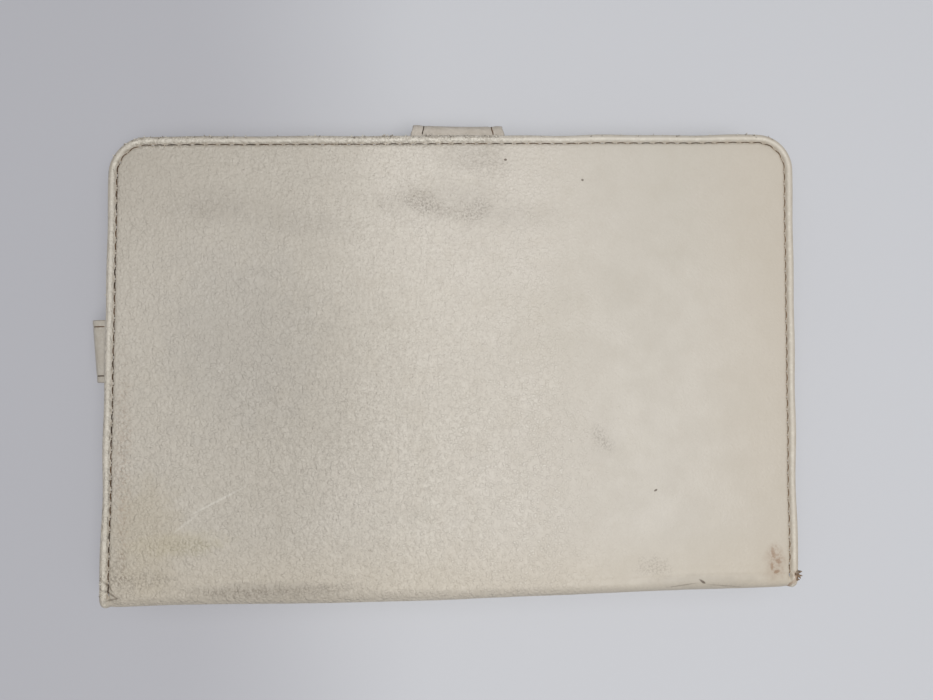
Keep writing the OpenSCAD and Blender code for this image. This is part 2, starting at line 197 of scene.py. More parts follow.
def dress(piece, material):
    """Gives a piece its material, and returns the piece."""
    piece.data.materials.clear()
    piece.data.materials.append(material)
    return piece


# ---------------------------------------------------------------- node graphs
class Graph:
    """A few short calls for building a material's nodes."""

    def __init__(self, name, coordinates="rest"):
        self.material = bpy.data.materials.new(name)
        self.material.use_nodes = True
        self.tree = self.material.node_tree
        self.shader = self.tree.nodes["Principled BSDF"]
        self.rough = {}
        if coordinates == "rest":
            self.place = self.attribute("rest", "Vector")
        else:
            source = self.tree.nodes.new("ShaderNodeTexCoord").outputs["Object"]
            self.place = self.vector("SCALE", source, scale=1 / MM)

    def put(self, socket, value):
        if isinstance(value, bpy.types.NodeSocket):
            self.tree.links.new(value, socket)
        elif isinstance(value, (tuple, list)) and len(value) == 3 and socket.type == "RGBA":
            socket.default_value = (*value, 1)
        else:
            socket.default_value = value

    def attribute(self, name, output="Fac"):
        node = self.tree.nodes.new("ShaderNodeAttribute")
        node.attribute_name = name
        return node.outputs[output]

    def math(self, operation, a, b=0.0, clamp=False):
        node = self.tree.nodes.new("ShaderNodeMath")
        node.operation = operation
        node.use_clamp = clamp
        self.put(node.inputs[0], a)
        self.put(node.inputs[1], b)
        return node.outputs[0]

    def plus(self, a, b):
        return self.math("ADD", a, b)

    def minus(self, a, b, clamp=False):
        return self.math("SUBTRACT", a, b, clamp)

    def times(self, a, b):
        return self.math("MULTIPLY", a, b)

    def vector(self, operation, a, b=None, scale=None):
        node = self.tree.nodes.new("ShaderNodeVectorMath")
        node.operation = operation
        self.put(node.inputs[0], a)
        if b is not None:
            self.put(node.inputs[1], b)
        if scale is not None:
            self.put(node.inputs["Scale"], scale)
        single = operation in ("LENGTH", "DISTANCE", "DOT_PRODUCT")
        return node.outputs["Value" if single else "Vector"]

    def axes(self, vector):
        node = self.tree.nodes.new("ShaderNodeSeparateXYZ")
        self.put(node.inputs[0], vector)
        return node.outputs

    def combine(self, x, y, z):
        node = self.tree.nodes.new("ShaderNodeCombineXYZ")
        for socket, value in zip(node.inputs, (x, y, z)):
            self.put(socket, value)
        return node.outputs[0]

    def mix(self, share, a, b):
        """Colour a where share is 0, b where it is 1."""
        node = self.tree.nodes.new("ShaderNodeMix")
        node.data_type = "RGBA"
        node.blend_type = "MIX"
        self.put(node.inputs["Factor"], share)
        self.put(node.inputs["A"], a)
        self.put(node.inputs["B"], b)
        return node.outputs["Result"]

    def step(self, value, low, high, start=0.0, end=1.0):
        """start where value is low, end where it is high, and smooth between."""
        node = self.tree.nodes.new("ShaderNodeMapRange")
        node.interpolation_type = "SMOOTHSTEP"
        self.put(node.inputs["Value"], value)
        for key, number in zip(("From Min", "From Max", "To Min", "To Max"), (low, high, start, end)):
            self.put(node.inputs[key], number)
        return node.outputs["Result"]

    def noise(self, size, detail=3.0, roughness=0.5, at=None, output="Fac", stretch=(1, 1, 1)):
        """Noise whose blotches are about size millimetres across."""
        node = self.tree.nodes.new("ShaderNodeTexNoise")
        place = self.vector("MULTIPLY", at or self.place, stretch)
        self.put(node.inputs["Vector"], place)
        self.put(node.inputs["Scale"], 1 / size)
        self.put(node.inputs["Detail"], detail)
        self.put(node.inputs["Roughness"], roughness)
        return node.outputs[output]

    def cells(self, size, at=None):
        """Distance from the middle of the nearest of many cells about size millimetres across."""
        node = self.tree.nodes.new("ShaderNodeTexVoronoi")
        node.feature = "F1"
        self.put(node.inputs["Vector"], at or self.place)
        self.put(node.inputs["Scale"], 1 / size)
        return node.outputs["Distance"]

    def spot(self, centre, radii, turn=0.0, ragged=0.35, soft=0.6):
        """Mask of a ragged blotch at centre (x, y) with radii (x, y), turned by turn degrees."""
        node = self.tree.nodes.new("ShaderNodeMapping")
        node.vector_type = "TEXTURE"
        self.put(node.inputs["Vector"], self.place)
        self.put(node.inputs["Location"], (*centre, 0))
        self.put(node.inputs["Rotation"], (0, 0, math.radians(turn)))
        self.put(node.inputs["Scale"], (*radii, 1e5))
        distance = self.vector("LENGTH", node.outputs["Vector"])
        size = min((0.9, 2.2, 5.0), key=lambda c: abs(c - 0.5 * min(radii) - 0.7))
        if size not in self.rough:
            self.rough[size] = self.math("SUBTRACT", self.noise(size, detail=3), 0.5)
        rough = self.rough[size]
        edge = self.math("ADD", distance, self.math("MULTIPLY", rough, 4 * ragged))
        return self.step(edge, 1 - soft, 1 + soft, 1, 0)

    def bump(self, height, strength, distance, base=None):
        node = self.tree.nodes.new("ShaderNodeBump")
        self.put(node.inputs["Height"], height)
        self.put(node.inputs["Strength"], strength)
        self.put(node.inputs["Distance"], distance * MM)
        if base is not None:
            self.put(node.inputs["Normal"], base)
        return node.outputs["Normal"]

    def finish(self, color, roughness, normal=None, **fixed):
        self.put(self.shader.inputs["Base Color"], color)
        self.put(self.shader.inputs["Roughness"], roughness)
        if normal is not None:
            self.put(self.shader.inputs["Normal"], normal)
        for key, value in fixed.items():
            self.put(self.shader.inputs[key.replace("_", " ")], value)
        return self.material


def srgb(red, green, blue):
    """Linear colour of an 8-bit sRGB one."""
    def linear(c):
        c /= 255
        return c / 12.92 if c <= 0.04045 else ((c + 0.055) / 1.055) ** 2.4
    return tuple(linear(c) for c in (red, green, blue))


# ---------------------------------------------------------------- materials
def leather_grain(g, depth=0.09, wrinkled=1.0, pebbled=1.0):
    """Relief of a pressed leather grain: pillowy pebbles and fine wrinkles. (normal, mask of the valleys,
    which carries painted shade).
    """
    wander = g.vector("SCALE", g.vector("SUBTRACT", g.noise(2.1, 2, output="Color"), (0.5,) * 3),
                      scale=1.3)
    place = g.vector("ADD", g.place, wander)
    pebble = g.step(g.cells(0.95, place), 0.15, 0.75, 1, 0)
    run = g.vector("MULTIPLY", place, (1.0, 0.28, 1.0))
    upright = g.step(g.math("ABSOLUTE", g.minus(g.noise(1.7, 2, at=run), 0.5)), 0, 0.16)
    slant = g.axes(place)
    lean_x = g.plus(slant[0], g.times(slant[1], 0.9))
    lean_y = g.times(g.minus(slant[1], g.times(slant[0], 0.9)), 0.3)
    other = g.combine(lean_x, lean_y, slant[2])
    crossing = g.step(g.math("ABSOLUTE", g.minus(g.noise(1.9, 2, at=other), 0.5)), 0, 0.14)
    lines = g.times(g.plus(upright, crossing), 0.5)
    height = g.plus(g.times(pebble, pebbled), g.times(lines, wrinkled))
    height = g.plus(height, g.times(g.noise(0.45, 2), 0.35))
    valley_shade = g.minus(1.0, g.times(g.plus(pebble, lines), 0.5), True)
    return g.bump(height, 1.0, depth), valley_shade


def cover_leather(name, worn):
    """Cream leather with a pressed grain, painted shade in its valleys and along its seam's groove, and a
    painted highlight on the crest inside its edge. worn adds the marks of the face that shows, with painted
    shade and highlights of their own.
    """
    g = Graph(name)
    x, y = g.axes(g.place)[:2]
    wrinkled = g.plus(g.step(x, -45, 20, 1.1, 0.3), g.step(g.noise(22, 2), 0.35, 0.7, 0, 0.5))
    pebbled = g.plus(g.step(x, 20, 45, 1.1, 0.35), g.step(y, -30, 30, 0.4, -0.2))
    smooth_side = g.step(x, 28, 60, 1.0, 0.3) if worn else 0.8
    normal, valley_shade = leather_grain(g, 0.12, g.times(wrinkled, smooth_side),
                                 g.times(pebbled, smooth_side))
    cloud = g.noise(46, 3)
    mottle = g.noise(7, 4, 0.6)
    color = g.mix(g.step(cloud, 0.3, 0.7), srgb(198, 191, 179), srgb(203, 196, 185))
    color = g.mix(g.times(g.step(mottle, 0.45, 0.75), 0.22), color, srgb(190, 181, 166))
    # painted shade: the grain's valleys are darker, where shade falls between pebbles and wrinkles
    color = g.mix(g.times(g.times(valley_shade, smooth_side), 0.10), color,
                  srgb(150, 138, 120))
    if worn:
        color = worn_marks(g, color, x, y)
    rim = g.attribute("rim")
    groove = g.attribute("groove")
    highlight_patches = g.step(g.noise(1.4, 5, 0.7), 0.50, 0.62)
    # painted shade along the seam's groove, deepest between the stitches
    color = g.mix(g.times(groove, 0.45), color, srgb(146, 128, 104))
    color = g.mix(g.times(rim, g.step(g.noise(3.0, 4, 0.6), 0.4, 0.7, 0.05, 0.4)),
                  color, srgb(168, 156, 138))
    # painted highlight on the crest between the seam and the edge, broken into patches by noise
    color = g.mix(g.times(g.attribute("ridge_highlight"), g.plus(0.3, g.times(highlight_patches, 0.3))), color,
                  srgb(228, 222, 208))
    roughness = g.step(g.noise(9, 4), 0.3, 0.7, 0.46, 0.62)
    return g.finish(color, roughness, normal, Specular_IOR_Level=0.4)


# ---- wear of the face that shows, and painted shade on it: ((x, y), (radii), turn in degrees, colour, share)
GREY, BROWN, DARK = srgb(132, 125, 116), srgb(138, 104, 76), srgb(96, 84, 72)
OLIVE, PALE_SCRATCH = srgb(178, 168, 134), srgb(220, 216, 206)
SMUDGES_AND_SHADE = [
    ((-4, 48), (17, 6), 0, GREY, 0.14), ((4, 63), (9, 5), 0, GREY, 0.14),
    ((-70, 47), (12, 5), 8, GREY, 0.13), ((-45, 42), (16, 4), -6, GREY, 0.12),
    # the broad grey patch at (-64, 8) is painted shade on the left part
    ((-64, 8), (20, 26), 0, srgb(158, 154, 148), 0.25), ((42, -23), (6, 5), 0, GREY, 0.05),
    ((19, 44), (12, 4), 0, GREY, 0.09), ((-80, -51), (12, 3), 4, OLIVE, 0.22),
    ((-90, -48), (9, 14), 0, srgb(170, 158, 134), 0.35), ((-55, -64.5), (22, 2), 0, GREY, 0.3),
    # the grey band at y -67, along the whole fold, is painted shade where the leather rolls round the spine
    ((73, -64.5), (16, 2), 0, GREY, 0.2), ((0, -67), (112, 1.5), 0, GREY, 0.25),
    ((94, -60), (3, 5), 0, BROWN, 0.18),
]
SPECKLED_STAINS = [
    ((94.5, -59), (2, 4), 8, BROWN, 0.4), ((-97, -60), (3, 7), 0, DARK, 0.3),
    ((-10.5, 48.5), (5.5, 3), -12, DARK, 0.42), ((-3, 45.5), (6, 1.6), -10, DARK, 0.25),
    ((5.5, 45.5), (4.5, 3), 20, DARK, 0.35), ((10, 60), (6, 4), 0, DARK, 0.24),
    ((-60, -65), (14, 1.2), 0, DARK, 0.42), ((-38, -64.5), (8, 1.4), 0, DARK, 0.25),
    ((-90, -61), (9, 2.2), 0, DARK, 0.35), ((-96, -29), (2.2, 26), 0, BROWN, 0.25),
    ((42, -21.5), (2, 3), 20, DARK, 0.3), ((44.5, -24), (2, 1.6), -30, DARK, 0.26),
    ((57.5, -60), (5, 3), 0, DARK, 0.25), ((-72, 46), (7, 2.4), 8, DARK, 0.16),
    ((-36, -20), (30, 40), 0, GREY, 0.16), ((-77, -52), (8, 2), 0, srgb(116, 108, 74), 0.3),
]
NICKS = [
    ((93.5, -56.5), (0.5, 1.6), 12, BROWN, 0.45), ((95, -59), (1, 0.6), -30, BROWN, 0.5),
    ((93, -60.5), (0.4, 1.3), 0, BROWN, 0.5), ((94.5, -62), (0.9, 0.5), 10, BROWN, 0.65),
    ((15, 61), (0.45, 0.35), 0, DARK, 0.9), ((38, 55), (0.4, 0.35), 0, DARK, 0.8),
    ((58.5, -37.5), (0.55, 0.3), 30, DARK, 0.9), ((72, -64.5), (1.1, 0.35), -35, DARK, 0.9),
    ((66, -65.5), (4, 0.2), 8, DARK, 0.4), ((79, -66), (5, 0.2), -6, DARK, 0.35),
    ((-69.5, -39), (8, 0.3), 27, PALE_SCRATCH, 0.3),
    ((-78, -45), (4, 0.35), 38, PALE_SCRATCH, 0.22),
    ((-100.5, -62), (3.5, 0.25), -50, DARK, 0.6), ((-100, -64.5), (3, 0.3), -30, DARK, 0.6),
    ((-99, -66.5), (1.8, 0.3), 14, DARK, 0.6), ((99.5, -65.5), (3.5, 0.5), 60, BROWN, 0.6),
    ((101, -63), (1.6, 1.2), 0, BROWN, 0.7),
]


def worn_marks(g, color, x, y):
    """Smudges, stains and yellowing of the back cover's face, at their places on it, with painted shade over
    its left part, its top-left corner and its spine fold, and painted highlights on its wrinkles and
    pebbles.
    """
    flecks = g.step(g.noise(0.6, 3, 0.6), 0.42, 0.64)
    ripples = g.minus(g.noise(1.3, 2, stretch=(1, 0.35, 1)), 0.56)
    # painted highlight: pale lines on the raised wrinkles, strongest on the left
    wrinkle_highlight = g.step(g.math("ABSOLUTE", ripples), 0, 0.11, 1, 0)
    wrinkle_highlight = g.times(wrinkle_highlight, g.step(x, -30, 40, 0.17, 0.03))
    color = g.mix(wrinkle_highlight, color, srgb(232, 226, 214))
    speckle = g.times(g.step(g.noise(0.9, 2), 0.52, 0.66), g.step(x, -20, 40, 0.2, 0.0))
    color = g.mix(speckle, color, srgb(226, 220, 208))
    aside = g.vector("ADD", g.place, (7.0, 3.0, 0.0))
    pits = g.times(g.step(g.noise(0.7, 2, at=aside), 0.60, 0.70), g.step(x, -40, 40, 0.32, 0.04))
    color = g.mix(pits, color, srgb(128, 116, 100))
    # painted shade: the left part and the top-left corner are darker, where less light fell
    drift = g.times(g.noise(50, 2), 26.0)
    shaded_half = g.step(g.plus(x, drift), -42, 6, 1, 0)
    far_corner_shade = g.times(g.step(x, -100, -55, 1, 0), g.step(y, 20, 66))
    # the first two zones are painted shade; the other three are the leather's own tone and yellowing
    for share, tone, zone in ((0.56, srgb(168, 161, 149), shaded_half),
                              (0.45, srgb(166, 158, 146), far_corner_shade),
                              (0.30, srgb(176, 170, 158), g.step(x, 20, 55)),
                              (0.30, srgb(186, 172, 152), g.step(x, 60, 102)),
                              (0.25, srgb(186, 172, 148), g.step(y, -45, -67))):
        color = g.mix(g.times(zone, share), color, tone)
    for centre, radii, turn, tone, share in SMUDGES_AND_SHADE:
        color = g.mix(g.times(g.spot(centre, radii, turn), share), color, tone)
    for centre, radii, turn, tone, share in SPECKLED_STAINS:
        mask = g.times(g.spot(centre, radii, turn), flecks)
        color = g.mix(g.times(mask, share), color, tone)
    for centre, radii, turn, tone, share in NICKS:
        mask = g.spot(centre, radii, turn, ragged=0.2, soft=0.35)
        color = g.mix(g.times(mask, share), color, tone)
    # painted highlight: pale glints on the pebble tops, within the shiny patch
    glints = g.step(g.cells(0.95), 0.12, 0.3, 1, 0)
    glints = g.times(glints, g.step(g.noise(1.7, 3), 0.5, 0.62))
    shiny = g.spot((18, -28), (16, 40), ragged=0.3)
    color = g.mix(g.times(g.times(glints, shiny), 0.5), color, srgb(226, 222, 212))
    flaked = g.math("MAXIMUM", g.spot((-10, 67.5), (27, 2.6)), g.spot((-88, 67), (14, 3.0)))
    flake_tone = g.mix(g.step(g.noise(0.7, 4, 0.7), 0.42, 0.56), srgb(134, 124, 110),
                       srgb(214, 208, 196))
    return g.mix(g.times(flaked, 0.5), color, flake_tone)


def strap_leather(name, tone):
    g = Graph(name)
    normal, valley_shade = leather_grain(g, 0.06)
    blotch = g.step(g.noise(2.6, 4, 0.6), 0.42, 0.66)
    color = g.mix(g.times(blotch, 0.28), tone, srgb(160, 150, 136))
    # painted shade in the grain's valleys
    color = g.mix(g.times(valley_shade, 0.2), color, srgb(132, 120, 102))
    color = g.mix(g.times(g.attribute("cut_edge"), 0.75), color, srgb(104, 94, 80))
    return g.finish(color, g.step(g.noise(5, 3), 0.3, 0.7, 0.45, 0.65), normal,
                    Specular_IOR_Level=0.4)


def lining_cloth(name, coordinates="rest"):
    """Suede-like microfibre: a short soft nap with brushed patches."""
    g = Graph(name, coordinates)
    nap = g.noise(0.28, 4, 0.7)
    brushed = g.step(g.noise(18, 3), 0.35, 0.65)
    color = g.mix(brushed, srgb(176, 163, 143), srgb(189, 177, 158))
    color = g.mix(g.times(nap, 0.35), color, srgb(146, 132, 112))
    normal = g.bump(nap, 0.6, 0.12)
    return g.finish(color, 0.95, normal, Sheen_Weight=0.35, Sheen_Roughness=0.5,
                    Specular_IOR_Level=0.2)


def bleached_end(g):
    """Share of bleaching of the sewing: the row along the right end has faded most."""
    return g.step(g.axes(g.place)[0], BLEACHED_X - 6, BLEACHED_X, 0, 0.6)


def thread_material(name):
    """Twisted brown sewing thread, faded in places."""
    g = Graph(name)
    twist = g.math("SINE", g.vector("DOT_PRODUCT", g.place, (9, 9, 6)))
    faded = g.step(g.noise(11, 3), 0.35, 0.65)
    color = g.mix(faded, srgb(54, 40, 28), srgb(96, 72, 50))
    color = g.mix(bleached_end(g), color, srgb(142, 116, 88))
    return g.finish(color, 0.75, g.bump(twist, 0.5, 0.06), Specular_IOR_Level=0.3)


def hole_shade_material(name):
    # painted shade inside the needle holes: dark at each hole's mouth, paler at the faded end
    g = Graph(name)
    color = g.mix(g.noise(2, 2), srgb(30, 22, 16), srgb(52, 38, 28))
    color = g.mix(bleached_end(g), color, srgb(128, 110, 90))
    return g.finish(color, 0.9)


def flake_material(name):
    """Flaked coating: pale on its face, its cloth backing showing, brown at the worn corner."""
    g = Graph(name)
    backing = g.step(g.noise(0.9, 3, 0.6), 0.42, 0.6)
    color = g.mix(backing, srgb(200, 194, 182), srgb(128, 120, 110))
    worn_corner = g.spot((101, -66), (5, 4), soft=0.3)
    color = g.mix(g.times(worn_corner, 0.85), color, srgb(112, 86, 60))
    return g.finish(color, 0.8, Specular_IOR_Level=0.2)


def board_material(name):
    g = Graph(name, "object")
    fibres = g.noise(0.6, 3, 0.6, stretch=(0.3, 1, 1))
    color = g.mix(fibres, srgb(150, 128, 98), srgb(176, 156, 126))
    return g.finish(color, 0.9, g.bump(fibres, 0.4, 0.1))


def foam_material(name):
    g = Graph(name, "object")
    pores = g.cells(0.5)
    color = g.mix(pores, srgb(120, 120, 122), srgb(156, 156, 158))
    return g.finish(color, 0.95, g.bump(pores, 0.6, 0.2))


def metal_material(name, tone, size):
    g = Graph(name, "object")
    brushed = g.noise(size, 3, stretch=(0.1, 1, 1))
    color = g.mix(brushed, tone, tuple(0.85 * c for c in tone))
    return g.finish(color, g.step(brushed, 0.3, 0.7, 0.3, 0.45), g.bump(brushed, 0.2, 0.03),
                    Metallic=1.0)


def hook_material(name):
    g = Graph(name, "object")
    loops = g.cells(0.55)
    color = g.mix(loops, srgb(214, 210, 198), srgb(172, 166, 152))
    return g.finish(color, 0.9, g.bump(loops, 1.0, 0.3), Sheen_Weight=0.2)


def floor_material(name):
    g = Graph(name, "object")
    x = g.axes(g.place)[0]
    drift = g.times(g.minus(g.noise(120, 2), 0.5), 40.0)
    # painted shade: the table is darker towards the left
    shade = g.step(g.plus(x, drift), -88, -5)
    color = g.mix(shade, srgb(178, 178, 183), srgb(198, 199, 203))
    return g.finish(color, 0.6, g.bump(g.noise(1.2, 3), 0.12, 0.1), Specular_IOR_Level=0.2)


# ---------------------------------------------------------------- the covers' shell
def outer_path(v):
    """(y, z) of the back cover's outer face at distance v from the closure edge."""
    angle = np.clip((v - FLAT_V) / FOLD_R, 0, math.pi / 2)
    down = np.maximum(v - FLAT_V - ARC_V, 0)
    return (EDGE_Y - np.minimum(v, FLAT_V) - FOLD_R * np.sin(angle),
            CASE_T - FOLD_R * (1 - np.cos(angle)) - down)


def inner_path(v):
    """(y, z) of the inner face, opposite the same v."""
    start, end = FLAT_V - INNER_LEAD, FLAT_V + ARC_V + INNER_LEAD
    t = np.clip((v - start) / (end - start), 0, 1)
    y0, z2 = EDGE_Y - start, CASE_T - FOLD_R - INNER_LEAD
    y = y0 * (1 - t) ** 2 + SPINE_IN_Y * (2 * t * (1 - t) + t * t)
    z = BACK_Z * ((1 - t) ** 2 + 2 * t * (1 - t)) + z2 * t * t
    return np.where(v < start, EDGE_Y - v, y), z - np.maximum(v - end, 0)


def lean(points):
    """The slight skew of the worn case."""
    moved = points.copy()
    moved[..., 0] += SKEW_X * points[..., 1]
    moved[..., 1] += SKEW_Y * points[..., 0]
    return moved


def inset_of(x, v):
    """Distance inwards from the cover's free edges."""
    dx, r = HALF_L - np.abs(x), CORNER_R
    corner = r - np.hypot(r - np.minimum(dx, r), r - np.minimum(v, r))
    return np.where((dx < r) & (v < r), corner, np.minimum(dx, v))


def on_shell(x, v, depth, front=False):
    """Points of a cover at x, v and depth below its outer face. front is the lower cover."""
    x, v, depth = np.broadcast_arrays(*(np.asarray(a, float) for a in (x, v, depth)))
    oy, oz = outer_path(v)
    iy, iz = inner_path(v)
    share = depth / COVER_T
    near = np.exp(-np.maximum(inset_of(x, v), 0) / 4)
    fold = smooth(FLAT_V - 30, FLAT_V, v)
    sag = 0.45 * bell(x, -8, 38) - 0.45 * bell(x, -76, 22) - 0.30 * bell(x, 62, 30)
    y = oy + (iy - oy) * share
    z = oz + (iz - oz) * share
    wobble_x = 0.22 * near * waves(y, 0 * y, 23, 11) * np.sign(x) * smooth(HALF_L - 9, HALF_L, np.abs(x))
    wobble_y = 0.20 * near * waves(x, 0 * x, 27, 12) * smooth(9, 0, v)
    wobble_y = wobble_y - sag * fold * (1 - np.clip(share, 0, 1))
    points = lean(np.stack([x + wobble_x, y + wobble_y, z], -1))
    if front:
        points[..., 2] = CASE_T - points[..., 2]
    return points


# ---- the seam's line, as arc length from its left end
SEAM_R = CORNER_R - SEAM_INSET
SEAM_SIDE = SEAM_END_V - CORNER_R
SEAM_ARC = SEAM_R * math.pi / 2
SEAM_TOP = 2 * (HALF_L - CORNER_R)
SEAM_LENGTH = 2 * SEAM_SIDE + 2 * SEAM_ARC + SEAM_TOP
SEAM_COUNT = round(SEAM_LENGTH / STITCH_PITCH)
SEAM_STEP = SEAM_LENGTH / SEAM_COUNT


def seam_point(s):
    """(x, v) of the seam at arc length s."""
    if s > SEAM_LENGTH / 2:
        x, v = seam_point(SEAM_LENGTH - s)
        return -x, v
    if s < SEAM_SIDE:
        return -(HALF_L - SEAM_INSET), SEAM_END_V - s
    if s < SEAM_SIDE + SEAM_ARC:
        angle = (s - SEAM_SIDE) / SEAM_R
        return (-(HALF_L - CORNER_R) - SEAM_R * math.cos(angle),
                CORNER_R - SEAM_R * math.sin(angle))
    return -(HALF_L - CORNER_R) + s - SEAM_SIDE - SEAM_ARC, SEAM_INSET


def seam_phase(x, v):
    """Arc length along the seam of the point nearest to (x, v), measured from its nearer end."""
    cx, cv = HALF_L - CORNER_R - np.abs(x), CORNER_R - v
    angle = np.arctan2(np.maximum(cv, 0), np.maximum(-cx, 1e-6))
    corner = SEAM_SIDE + SEAM_R * angle
    top = SEAM_SIDE + SEAM_ARC + cx
    return np.where(cv <= 0, SEAM_END_V - v, np.where(cx < 0, corner, top))


# ---- the strap's seat in the front cover
SEAT_X = (PAD_LOW[0] + PAD_HIGH[0]) / 2
SEAT_HALF = (PAD_HIGH[0] - PAD_LOW[0]) / 2 + 0.5
SEAT_V = EDGE_Y - PAD_LOW[1] + 0.5
SEAT_DEPTH = PAD_HIGH[2] + 0.3


def seat_mask(x, v):
    side = smooth(SEAT_HALF + 0.45, SEAT_HALF - 0.05, np.abs(x - SEAT_X))
    return side * smooth(SEAT_V + 0.45, SEAT_V - 0.05, v)


def face_depth(x, v, front):
    """How far the padded face lies below its highest level."""
    s = inset_of(x, v)
    seamed = smooth(SEAM_END_V + 3.5, SEAM_END_V, v)
    pucker = 0.72 + 0.38 * np.cos(2 * math.pi * seam_phase(x, v) / SEAM_STEP)
    depth = 0.60 * bell(s, SEAM_INSET, 0.42) * pucker * seamed
    depth = depth - 0.22 * bell(s, 1.15, 0.55)
    depth = depth + 0.40 * np.exp(-np.maximum(s - SEAM_INSET, 0) / 1.9) * smooth(1.7, 2.8, s)
    depth = depth - 0.30 * smooth(4, 30, s) + 0.10
    seed = 70 if front else 50
    own = smooth(MID_V, MID_V - 9, v)      # the covers' skins match where they meet on the spine
    depth = depth + 0.10 * waves(x, v, 34, seed) * smooth(2, 12, s) * own
    depth = depth + 0.035 * waves(x, v, 7, seed + 1) * smooth(2, 8, s) * own
    depth = depth + 0.06 * bell(s, 5.5, 3.0) * waves(seam_phase(x, v), s * 0.15, 9, seed + 2) * own
    depth = depth + 0.12 * bell(v, FLAT_V - 1.2 + 0.25 * waves(x, 0 * x, 60, seed + 3), 0.4)
    depth = depth + 0.07 * bell(v, FLAT_V - 3.0 + 0.3 * waves(x, 0 * x, 80, seed + 4), 0.5)
    pleat = (HALF_L - np.abs(x) - 1.4) + 0.8 * (v - FLAT_V + 1.0)
    depth = depth + 0.30 * bell(pleat, 0, 0.4) * smooth(5, 3.5, s) * smooth(FLAT_V - 5, FLAT_V - 3, v)
    flat_level = 0.02 - 0.6 * smooth(FLAT_V, FLAT_V + ARC_V, v)
    return np.maximum(depth, flat_level) if front else depth


RIM_INSET, RIM_DROP, SIDE_END = 1.2, 1.4, 3.2


def edge_profile(inner_inset):
    """(inset, depth) pairs round a turned edge, from the rim's top to the hem's cut edge."""
    quarter = np.linspace(0, math.pi / 2, 7)[1:]
    over = [(RIM_INSET * (1 - math.sin(a)), RIM_DROP * (1 - math.cos(a))) for a in quarter]
    side = [(0.0, 2.0), (0.0, 2.6), (0.0, SIDE_END)]
    under = [(1.0 * (1 - math.cos(a)), SIDE_END + (COVER_T - 0.1 - SIDE_END) * math.sin(a))
             for a in quarter]
    return over + side + under + [(1.5, COVER_T - 0.08), (inner_inset, COVER_T - 0.1)]


FACE_INSETS = [11, 10, 9, 8, 7, 6.2, 5.5, 4.9, 4.4, 4.0, 3.7, 3.4, 3.1, 2.85, 2.6, 2.35, 2.1,
               1.85, 1.6, 1.4, 1.2]


def lines(*stretches):
    """Grid lines from (low, high, count) stretches that share their ends."""
    joined = [np.linspace(*s) for s in stretches]
    return np.concatenate([joined[0]] + [a[1:] for a in joined[1:]])


def shell_grids(front, profile, depth_of):
    """Five grids of (x, v, depth) that cover a shell: centre, sides, top and two corner fans."""
    reach = HALF_L - CORNER_R
    if front:
        low, high = SEAT_X - SEAT_HALF, SEAT_X + SEAT_HALF
        xs = lines((-reach, low - 1, 80), (low - 1, low + 1, 9), (low + 1, high - 1, 28),
                   (high - 1, high + 1, 9), (high + 1, reach, 80))
        vs = lines((CORNER_R, SEAT_V - 1, 13), (SEAT_V - 1, SEAT_V + 1, 9),
                   (SEAT_V + 1, FLAT_V - 3, 104))
    else:
        xs = lines((-reach, reach, 193))
        vs = lines((CORNER_R, FLAT_V - 3, 127))
    folding = lines((FLAT_V - 3, FLAT_V + ARC_V + 1, 25), (FLAT_V + ARC_V + 1, MID_V, 9))
    vs = np.concatenate([vs, folding[1:]])
    insets = np.array([p[0] for p in profile], float)
    fixed = np.array([np.nan if p[1] is None else p[1] for p in profile], float)

    def grid(x, v):
        depth = depth_of(x, v)
        rows = np.broadcast_to(fixed, x.shape)
        return x, v, np.where(np.isnan(rows), depth, rows)

    centre_x, centre_v = np.meshgrid(xs, vs, indexing="ij")
    made = [(centre_x, centre_v, depth_of(centre_x, centre_v))]
    for side in (-1, 1):
        inset, v = np.meshgrid(insets, vs, indexing="ij")
        made.append(tuple(a.T for a in grid(side * (HALF_L - inset.T), v.T)))
    x, inset = np.meshgrid(xs, insets, indexing="ij")
    made.append(grid(x, inset))
    angles = np.linspace(0, math.pi / 2, 17)
    for side in (-1, 1):
        angle, inset = np.meshgrid(angles, insets, indexing="ij")
        radius = CORNER_R - inset
        made.append(grid(side * (reach + radius * np.cos(angle)), CORNER_R - radius * np.sin(angle)))
    return made


def shell_piece(name, front, profile, depth_of, thickness, outwards):
    """A cover's skin with the spine's near half, as one thickened sheet."""
    points, faces, inset, phase, across = [], [], [], [], []
    for x, v, depth in shell_grids(front, profile, depth_of):
        first = sum(len(p) for p in points)
        points.append(on_shell(x, v, depth, front).reshape(-1, 3))
        faces += grid_faces(*x.shape, first)
        inset.append(inset_of(x, v).ravel() + 10 * (depth.ravel() > 3.6))
        phase.append(v.ravel())
        across.append(x.ravel())
    s, v = np.concatenate(inset), np.concatenate(phase)
    seamed = smooth(SEAM_END_V + 4, SEAM_END_V, v)
    seamed = seamed * (0.45 + 0.55 * np.cos(2 * math.pi * seam_phase(np.concatenate(across), v)
                                            / SEAM_STEP))
    # the groove mask carries painted shade along the seam's groove
    attributes = {"rim": smooth(1.6, 0.7, s), "groove": bell(s, SEAM_INSET, 0.45) * np.maximum(seamed, 0),
                  # mask for the painted highlight on that crest
                  "ridge_highlight": bell(s, 1.65, 0.45)}
    piece = make_piece(name, np.concatenate(points), faces, attributes, merge=2e-3)
    probe = on_shell(-60, 60, 0.0, front)
    face_outwards(piece, probe, (0, 0, outwards))
    thicken(piece, thickness)
    sharpen_at_middle(piece)
    return piece


def sharpen_at_middle(piece):
    """Keeps the skin's shading even where the two covers' skins meet on the spine."""
    points = piece.data.vertices
    for edge in piece.data.edges:
        if all(abs(points[i].co.z / MM - CASE_T / 2) < 0.01 for i in edge.vertices):
            edge.use_edge_sharp = True


def leather_profile():
    return [(i, None) for i in FACE_INSETS] + edge_profile(3.2)


